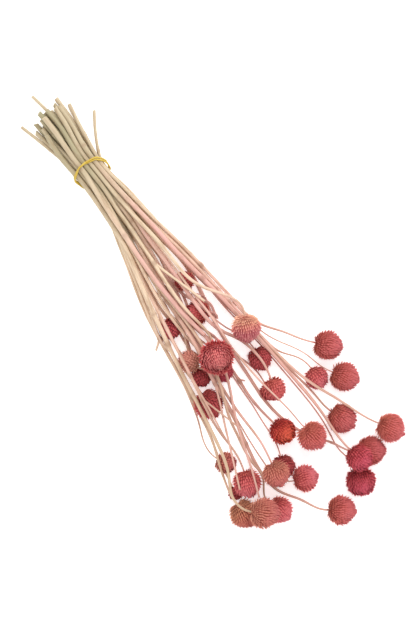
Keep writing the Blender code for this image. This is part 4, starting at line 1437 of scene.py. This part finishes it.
    def build(self, shop: Workshop, material: bpy.types.Material) -> None:
        """Make the stem's piece.

        Args:
            shop: Where pieces are made.
            material: The stems' finish.
        """
        draw = np.random.default_rng(SEED * 100 + self.number)
        surfaces = [self.tube(strand, line, draw) for strand, line in zip(self.strands, self.lines)]
        name = f"stem_{self.number + 1:02d}"
        shop.piece("dried_" + name, name, surfaces, material)


@dataclass(frozen=True)
class FlowerHead:
    """One head: keeled papery bracts in long, slowly meandering columns round a core."""

    number: int
    strand: Strand
    line: Array
    pitch: float = 2.15
    row_pitch: float = 2.4
    rows_climbed: int = 2
    row_wave: float = 0.15
    core: float = 0.89
    base_flat: float = 0.99
    tip_long: float = 1.02
    base_fullness: float = 0.96
    tip_fullness: float = 1.16
    base_angle: float = math.radians(12)
    tip_angle: float = math.radians(7)
    bract_length: float = 0.37
    rise: float = 0.165
    curl: float = 3.0
    keel_high: float = 0.6
    edge_low: float = 0.18
    broad: float = 1.08
    twist: float = 0.45
    meander: float = 0.4
    jitter: float = 0.07
    thin_to_half: float = 0.46
    thin_to_fourth: float = 0.24
    lump: float = 0.018
    seat_share: float = SEAT_SHARE
    seat_gap: float = SEAT_GAP
    pressed: float = 0.6
    core_sides: int = 24
    core_levels: int = 13
    core_from: float = math.radians(20)
    core_to: float = math.radians(174)
    core_inside: float = 0.97
    core_growth: float = 0.1
    core_chance: float = 0.5
    core_keel: float = 0.65
    meander_waves: Tuple[Tuple[float, int, float], ...] = ((2.6, 0, 0.9), (4.7, 3, 0.6), (8.5, -5, 0.35))
    lengths: Tuple[float, float] = (0.88, 1.1)
    rises: Tuple[float, float] = (0.35, 1.55)
    loose_least: float = 0.05
    loose_more: float = 0.35
    root_deep: float = 0.02
    stations: Tuple[float, ...] = (0.0, 0.12, 0.5, 0.8, 1.0)
    widths: Tuple[float, ...] = (0.75, 1.0, 0.8)
    heights: Tuple[float, ...] = (0.55, 1.0, 0.9)
    growths: Tuple[float, ...] = (0.0, 0.1, 0.5, 0.8, 1.0)
    edge_keels: Tuple[float, ...] = (0.0, 0.0, 0.3)

    def profile(self, angle: Array, out: Array) -> Array:
        """Work out the head's outline: a ball that is full behind and narrows to its tip.

        The girth is the sine of the angle, to a power under 1 behind and over 1 in front.

        Args:
            angle: The angle from the head's base.
            out: The distance from the middle, as a share of the head's radius.

        Returns:
            The girth and the height at each angle.
        """
        behind = angle < math.pi / 2
        girth = out * np.sin(angle) ** np.where(behind, self.base_fullness, self.tip_fullness)
        flat = np.where(behind, self.base_flat, self.tip_long)
        return np.stack((girth, -out * np.cos(angle) * flat), axis=-1)

    def core_surface(self) -> Surface:
        """Turn the outline, a little inside the bracts' roots, round the head's axis and close its poles.

        Returns:
            The closed core, in shares of the head's radius, round the Z axis.
        """
        sides, levels = self.core_sides, self.core_levels
        angle = np.linspace(self.core_from, self.core_to, levels)
        outline = self.profile(angle, np.full(levels, self.core * self.core_inside))
        turn = np.arange(sides) * math.tau / sides
        rings = np.stack((outline[:, :1] * np.cos(turn), outline[:, :1] * np.sin(turn),
                          np.repeat(outline[:, 1:], sides, axis=1)), axis=-1)
        ends = np.array(((0.0, 0.0, outline[0, 1]), (0.0, 0.0, outline[-1, 1])))
        spots = np.vstack((rings.reshape(-1, 3), ends))
        faces = ring_faces(levels, sides)
        side = np.arange(sides)
        after = (side + 1) % sides
        last, pole = (levels - 1) * sides, np.full(sides, levels * sides)
        faces.extend(np.stack((side[::-1], after[::-1], pole), axis=1).tolist())
        faces.extend(np.stack((last + side, last + after, pole + 1), axis=1).tolist())
        place = np.concatenate((np.repeat(np.linspace(0, 1, levels), sides), (0.0, 1.0)))
        # The core's marks paint it mostly with the painted shade of the grooves.
        growth, chance, keel = (np.full(len(spots), value) for value in (
            self.core_growth, self.core_chance, self.core_keel))
        return Surface(spots, faces, {"bract": np.stack((place, growth, chance), axis=1), "keel": keel})

    def roots(self, draw: np.random.Generator) -> Tuple[Array, Array, Array]:
        """Place the bracts' roots: columns from base to tip, and rows round that climb like a screw.

        Near the poles only each second or fourth column goes on. All columns swirl a little round the head,
        and neighbours meander together in slow waves, as do the rows. Each wave is the sine of the angle
        times its first number plus the turn times its second, at a height of its third.

        Args:
            draw: The source of chance.

        Returns:
            The angle from the base, the turn round the axis and the share of the girth that each root gets.
        """
        columns = 4 * round(math.pi / 2 * self.strand.head / self.pitch)
        span = math.pi - self.tip_angle - self.base_angle
        rows = round(span * self.strand.head / self.row_pitch)
        row, column = np.meshgrid(np.arange(rows), np.arange(columns), indexing="ij")
        jitter = draw.uniform(-self.jitter, self.jitter, (2,) + row.shape)
        climb = column * self.rows_climbed / columns % 1.0
        climb = climb + np.sin(column * 2 * math.tau / columns) * self.row_wave
        share = (row + climb + jitter[0]) / rows
        angle = self.base_angle + span * np.clip(share, 0, 1)
        girth = np.sin(angle)
        thin = np.where(girth < self.thin_to_fourth, 4, np.where(girth < self.thin_to_half, 2, 1))
        pitch = math.tau / columns
        phase = draw.uniform(0, math.tau, 3)
        wave = sum(np.sin(angle * down + column * pitch * across + start) * high
                   for (down, across, high), start in zip(self.meander_waves, phase))
        turn = (column + wave * self.meander + jitter[1]) * pitch
        turn += (angle - math.pi / 2) * draw.uniform(-self.twist, self.twist)
        kept = column % thin == 0
        return angle[kept], turn[kept], (thin * pitch)[kept]

    def bract_surface(self, draw: np.random.Generator) -> Surface:
        """Carry a three-cornered section (left edge, keel, right edge) out along each bract.

        A bract starts at its root on the core and goes straight on towards the head's tip, so that it stands
        off the round head more the further it goes, and curls up on top with a power of its own length. Its
        half width and its keel grow to the middle and shrink to the blunt point. Towards the head's tip the
        bracts lean more at random.

        Args:
            draw: The source of chance.

        Returns:
            All bracts, each closed, in shares of the head's radius, round the Z axis.
        """
        angle, turn, broad = self.roots(draw)
        count = len(angle)
        small = 1e-3
        phase = draw.uniform(0, math.tau, 2)
        lump = self.lump * (np.sin(turn * 2 + angle * 3 + phase[0]) + np.sin(turn * 3 - angle * 4 + phase[1]))
        here = self.profile(angle, self.core + lump)
        ahead = self.profile(angle + small, self.core + lump) - here
        ahead /= np.linalg.norm(ahead, axis=1)[:, None]
        outward = np.stack((ahead[:, 1], -ahead[:, 0]), axis=1)
        radial = np.stack((np.cos(turn), np.sin(turn), np.zeros(count)), axis=1)
        axis = np.array((0.0, 0.0, 1.0))
        root = radial * here[:, :1] + axis * here[:, 1:]
        along = radial * ahead[:, :1] + axis * ahead[:, 1:]
        normal = radial * outward[:, :1] + axis * outward[:, 1:]
        place = (angle - self.base_angle) / (math.pi - self.base_angle - self.tip_angle)
        loose = self.loose_least + self.loose_more * place ** 5
        beside = np.cross(axis, radial)
        beside = unit(beside + along * (draw.uniform(-1, 1, count) * loose)[:, None])
        length = self.bract_length * draw.uniform(*self.lengths, count)
        rise = self.rise * draw.uniform(*self.rises, count)
        lean = draw.uniform(-1, 1, count) * loose
        width = here[:, 0] * broad * self.broad / 2
        at, wide, high = np.array(self.stations), np.array(self.widths), np.array(self.heights)
        middle = (root[:, None] + along[:, None] * (length[:, None] * at)[..., None]
                  + normal[:, None] * (rise[:, None] * at ** self.curl - self.root_deep)[..., None]
                  + beside[:, None] * (lean[:, None] * length[:, None] * at ** 2)[..., None])
        edge = beside[:, None] * (width[:, None] * wide)[..., None]
        drop = normal[:, None] * (width[:, None] * wide * self.edge_low)[..., None]
        top = normal[:, None] * (width[:, None] * high * self.keel_high)[..., None]
        station = middle[:, 1:4]
        section = np.stack((station - edge - drop, station + top, station + edge - drop), axis=2)
        sections = len(wide)
        section = section.reshape(count, sections * 3, 3)
        spots = np.concatenate((middle[:, :1], section, middle[:, 4:]), axis=1)
        corners = spots.shape[1]
        last, tip = corners - 4, corners - 1
        around = ((0, 1), (1, 2), (2, 0))
        faces = [(0, 1 + left, 1 + right) for left, right in around]
        for low in range(1, last, 3):
            for left, right in around:
                faces.append((low + left, low + left + 3, low + right + 3))
                faces.append((low + left, low + right + 3, low + right))
        faces += [(last + left, tip, last + right) for left, right in around]
        shift = (np.arange(count) * corners)[:, None, None]
        growth = np.repeat(self.growths, (1,) + (3,) * sections + (1,))
        keel = np.concatenate(((0.0,), *((edge, 1.0, edge) for edge in self.edge_keels), (1.0,)))
        chance = draw.uniform(0, 1, count)
        mark = np.stack((np.repeat(place, corners), np.tile(growth, count),
                         np.repeat(chance, corners)), axis=1)
        return Surface(spots.reshape(-1, 3), (np.array(faces)[None] + shift).reshape(-1, 3).tolist(),
                       {"bract": mark, "keel": np.tile(keel, count)})

    def placed(self, surface: Surface) -> Surface:
        """Size a surface to this head and turn its axis the way that the stem pushes the head.

        What lies lower than pressed is squeezed flat on the surface and never goes through it: its height
        becomes pressed times e to the power of (height / pressed - 1).

        Args:
            surface: A surface in shares of the head's radius, round the Z axis.

        Returns:
            The surface in the bunch's millimetres.
        """
        base, middle = self.line[-2], self.line[-1]
        axis = unit(middle - base)
        seat = base + axis * (self.strand.head * self.seat_share + self.seat_gap)
        turn = np.array(Vector(axis).to_track_quat("Z", "Y").to_matrix())
        points = surface.points @ turn.T * self.strand.head + seat
        low = points[:, 2] < self.pressed
        points[low, 2] = self.pressed * np.exp(points[low, 2] / self.pressed - 1)
        return Surface(points, surface.faces, surface.marks)

    def build(self, shop: Workshop, material: bpy.types.Material) -> None:
        """Make the head's piece.

        Args:
            shop: Where pieces are made.
            material: The finish of the head's tone.
        """
        draw = np.random.default_rng(SEED * 1000 + self.number)
        surfaces = [self.placed(self.core_surface()), self.placed(self.bract_surface(draw))]
        shop.piece(f"amaranth_head_{self.number:02d}", f"flower_head_{self.number:02d}",
                   surfaces, material)


@dataclass(frozen=True)
class RubberBand:
    """The doubled band: one closed strand, twice round the stems, that crosses over itself once."""

    thick: float = BAND_THICK
    spread: float = 1.75
    gap: float = BAND_GAP
    low: float = 12.0
    lean: float = 20.0
    switch: float = 3.0
    slope_room: float = 1.04
    crossing: float = 0.79
    steps: int = 110
    sides: int = 12
    outline_steps: int = 720
    outline_passes: int = 6
    uneven: float = 0.05
    swells: Tuple[int, int] = (14, 5)

    def outline(self, mains: Sequence[Tuple[Array, float]]) -> Tuple[Array, Array]:
        """Pull a closed line tight: in each direction it touches the stem that reaches furthest that way.

        The band leans, so the stems are read where its height there puts it along the bunch.

        Args:
            mains: The settled line of each stem and its radius in the tie.

        Returns:
            The closed line and its outward directions.
        """
        way = np.arange(self.outline_steps) * math.tau / self.outline_steps
        out = np.stack((np.cos(way), np.sin(way)), axis=1)
        along = np.zeros(len(way))
        for _ in range(self.outline_passes):
            across = np.stack([np.interp(along, p[:, 0], p[:, 1]) for p, _ in mains], axis=1)
            up = np.stack([np.interp(along, p[:, 0], p[:, 2]) for p, _ in mains], axis=1)
            thick = np.array([r for _, r in mains]) * self.slope_room
            best = (across * out[:, :1] + up * out[:, 1:] + thick).argmax(axis=1)
            pick = np.arange(len(way)), best
            stand_off = thick[best] + self.gap + self.thick / 2
            line = np.stack((across[pick], up[pick]), axis=1) + out * stand_off[:, None]
            share = (line[:, 1] - line[:, 1].min()) / np.ptp(line[:, 1])
            along = self.low - self.lean * share
        return np.column_stack((along, line)), np.column_stack((np.zeros(len(way)), out))

    def surface(self, mains: Sequence[Tuple[Array, float]]) -> Surface:
        """Carry a ring twice round the outline.

        The strand swings from one side of the outline to the other by the hyperbolic tangent of a cosine, and
        lifts over its other turn where they cross. Its radius swells and thins in slow waves.

        Args:
            mains: The settled line of each stem and its radius in the tie.

        Returns:
            The closed ring.
        """
        line, out = self.outline(mains)
        line, out = np.vstack((line, line[:1])), np.vstack((out, out[:1]))
        run = run_along(line)
        turns = np.arange(2 * self.steps) / self.steps
        want = (turns + self.crossing) % 1.0 * run[-1]
        middle = np.stack([np.interp(want, run, line[:, k]) for k in range(3)], axis=1)
        normal = np.stack([np.interp(want, run, out[:, k]) for k in range(3)], axis=1)
        beside = unit(np.cross(np.roll(middle, -1, axis=0) - np.roll(middle, 1, axis=0), normal))
        swing = np.tanh(self.switch * np.cos(turns * math.pi)) / math.tanh(self.switch) * self.spread / 2
        lift = np.sqrt(np.clip(self.spread ** 2 - (2 * swing) ** 2, 0, None))
        over = (turns < 1)[:, None]
        strand = middle + beside * swing[:, None] + normal * np.where(over, lift[:, None], 0.0)
        turn = np.arange(self.sides) * math.tau / self.sides
        fast, slow = self.swells
        wave = 1 + self.uneven * np.sin(turns * math.pi * fast) * np.sin(turns * math.pi * slow)
        rings = strand[:, None] + spokes(turn, normal, beside) * (wave * self.thick / 2)[:, None, None]
        return Surface(rings.reshape(-1, 3), ring_faces(len(rings), self.sides, closed=True), {})

    def build(self, shop: Workshop, mains: Sequence[Tuple[Array, float]]) -> None:
        """Make the band's piece.

        Args:
            shop: Where pieces are made.
            mains: The settled line of each stem and its radius in the tie.
        """
        shop.piece("golden_band", "rubber_band", [self.surface(mains)],
                   RubberFinish().material())


@dataclass(frozen=True)
class Studio:
    """White floor, soft light from all round, one broad lamp, and a long lens straight above.

    The view's middle is in the bunch's millimetres, the lens and its sensor in a camera's, and the rest in
    metres, radians and watts.
    """

    view_middle: Tuple[float, float] = (158.6, 0.1)
    view_height: float = 0.5355
    level: float = 0.014
    lens: float = 200.0
    sensor: float = 36.0
    far: float = 20.0
    turn: float = math.radians(52)
    floor_size: float = 6.0
    floor_white: float = 0.92
    floor_grain: float = 0.03
    grain_scale: float = 900.0
    floor_rough: float = 0.9
    floor_deep: float = 0.00001
    floor_gloss: float = 0.1
    floor_glow: float = 0.5
    sky: float = 1.08
    lamp_power: float = 16.0
    lamp_size: float = 1.6
    lamp_spot: Tuple[float, float, float] = (-0.55, 0.85, 1.5)

    def floor(self) -> None:
        """Lay the white floor, which glows a little, with a faint paper grain."""
        half = self.floor_size / 2
        mesh = bpy.data.meshes.new("white_floor")
        corners = [(-half, -half, 0), (half, -half, 0), (half, half, 0), (-half, half, 0)]
        mesh.from_pydata(corners, [], [(0, 1, 2, 3)])
        thing = bpy.data.objects.new("white_floor", mesh)
        bpy.context.scene.collection.objects.link(thing)
        graph = Graph("white paper")
        where = graph.add("ShaderNodeTexCoord", output="Object")
        grain = graph.noise(where, self.grain_scale)
        color = graph.blend(grain, (self.floor_white,) * 3, (self.floor_white + self.floor_grain,) * 3)
        graph.feed(graph.shader.inputs["Emission Color"], (1.0, 1.0, 1.0))
        graph.feed(graph.shader.inputs["Emission Strength"], self.floor_glow)
        mesh.materials.append(graph.finish(color, self.floor_rough, grain, self.floor_deep, self.floor_gloss))

    def light(self) -> None:
        """Set the sky's even white and hang the broad lamp above the picture's upper left."""
        world = bpy.data.worlds.new("soft white")
        world.use_nodes = True
        world.node_tree.nodes["Background"].inputs["Color"].default_value = (1.0, 1.0, 1.0, 1.0)
        world.node_tree.nodes["Background"].inputs["Strength"].default_value = self.sky
        bpy.context.scene.world = world
        lamp = bpy.data.lights.new("broad_lamp", "AREA")
        lamp.shape = "DISK"
        lamp.size = self.lamp_size
        lamp.energy = self.lamp_power
        thing = bpy.data.objects.new("broad_lamp", lamp)
        spot = Vector(self.lamp_spot)
        thing.location = spot
        thing.rotation_euler = (-spot).to_track_quat("-Z", "Y").to_euler()
        bpy.context.scene.collection.objects.link(thing)

    def camera(self, shift: Array) -> None:
        """Hang the camera over the picture's middle, turned so that the bunch lies across the frame.

        Args:
            shift: From the bunch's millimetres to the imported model's place, in millimetres.
        """
        lens = bpy.data.cameras.new("long_lens")
        lens.lens = self.lens
        lens.sensor_fit = "VERTICAL"
        lens.sensor_height = self.sensor
        lens.clip_end = self.far
        thing = bpy.data.objects.new("long_lens", lens)
        away = self.lens * self.view_height / self.sensor
        thing.location = ((self.view_middle[0] + shift[0]) * MM, (self.view_middle[1] + shift[1]) * MM,
                          away + self.level)
        thing.rotation_euler = (0.0, 0.0, self.turn)
        bpy.context.scene.collection.objects.link(thing)
        bpy.context.scene.camera = thing

    def set_up(self, shift: Array) -> None:
        """Build the stage and set plain view colours.

        Args:
            shift: From the bunch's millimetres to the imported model's place, in millimetres.
        """
        self.floor()
        self.light()
        self.camera(shift)
        bpy.context.scene.view_settings.view_transform = "Standard"
        bpy.context.scene.view_settings.look = "None"


@dataclass(frozen=True)
class Bunch:
    """The whole bunch: settled strands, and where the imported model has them."""

    layout: Layout = Layout()
    plain_stem: int = 3
    packed_sides: int = 6

    def shift(self, strands: Sequence[Strand], lines: Sequence[Array]) -> Array:
        """Compare a plain stem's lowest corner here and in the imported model.

        Args:
            strands: The strands.
            lines: Their settled points.

        Returns:
            The step from the bunch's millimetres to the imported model's place.
        """
        strand, line = next((s, line) for s, line in zip(strands, lines) if s.stem == self.plain_stem)
        points = line[:strand.body]
        _, side, up = tube_frame(points)
        turn = (np.arange(self.packed_sides) + 0.5) * math.tau / self.packed_sides
        rings = points[:, None] + spokes(turn, up, side) * strand.radius[:strand.body, None, None]
        low, high = (np.array(corner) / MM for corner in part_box(f"stem_{self.plain_stem + 1:02d}"))
        here = rings.reshape(-1, 3)
        step = low - here.min(axis=0)
        left = np.round(high - here.max(axis=0) - step, 3)
        LOG.info("the packed stem is off by %s mm at its far corner", left)
        return step

    def build(self) -> Array:
        """Make every piece.

        Returns:
            The step from the bunch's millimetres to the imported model's place.
        """
        strands = self.layout.lay_out()
        lines = Settling(strands).run()
        shift = self.shift(strands, lines)
        shop = Workshop(shift)
        fibre = StemFinish().material()
        for number, stem in enumerate(STEMS):
            own = [(s, line) for s, line in zip(strands, lines) if s.stem == number]
            DriedStem(number, stem, [s for s, _ in own], [line for _, line in own]).build(shop, fibre)
        finishes = {finish.tone: finish.material() for finish in BRACTS}
        tones = [flower.tone for stem in STEMS for flower in stem.flowers]
        heads = [(s, line) for s, line in zip(strands, lines) if s.head]
        for number, ((strand, line), tone) in enumerate(zip(heads, tones), start=1):
            FlowerHead(number, strand, line).build(shop, finishes[tone])
        mains = [(line[:s.body], s.radius[CUT_POINTS])
                 for s, line in zip(strands, lines) if s.parent < 0]
        RubberBand().build(shop, mains)
        LOG.info("%d pieces made", shop.made)
        return shift


def main() -> None:
    """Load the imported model, build the bunch over it, light it and keep its size."""
    logging.basicConfig(level=logging.INFO, format="%(message)s")
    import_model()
    shift = Bunch().build()
    Studio().set_up(shift)
    bpy.context.view_layer.update()


if __name__ == "__main__":
    main()
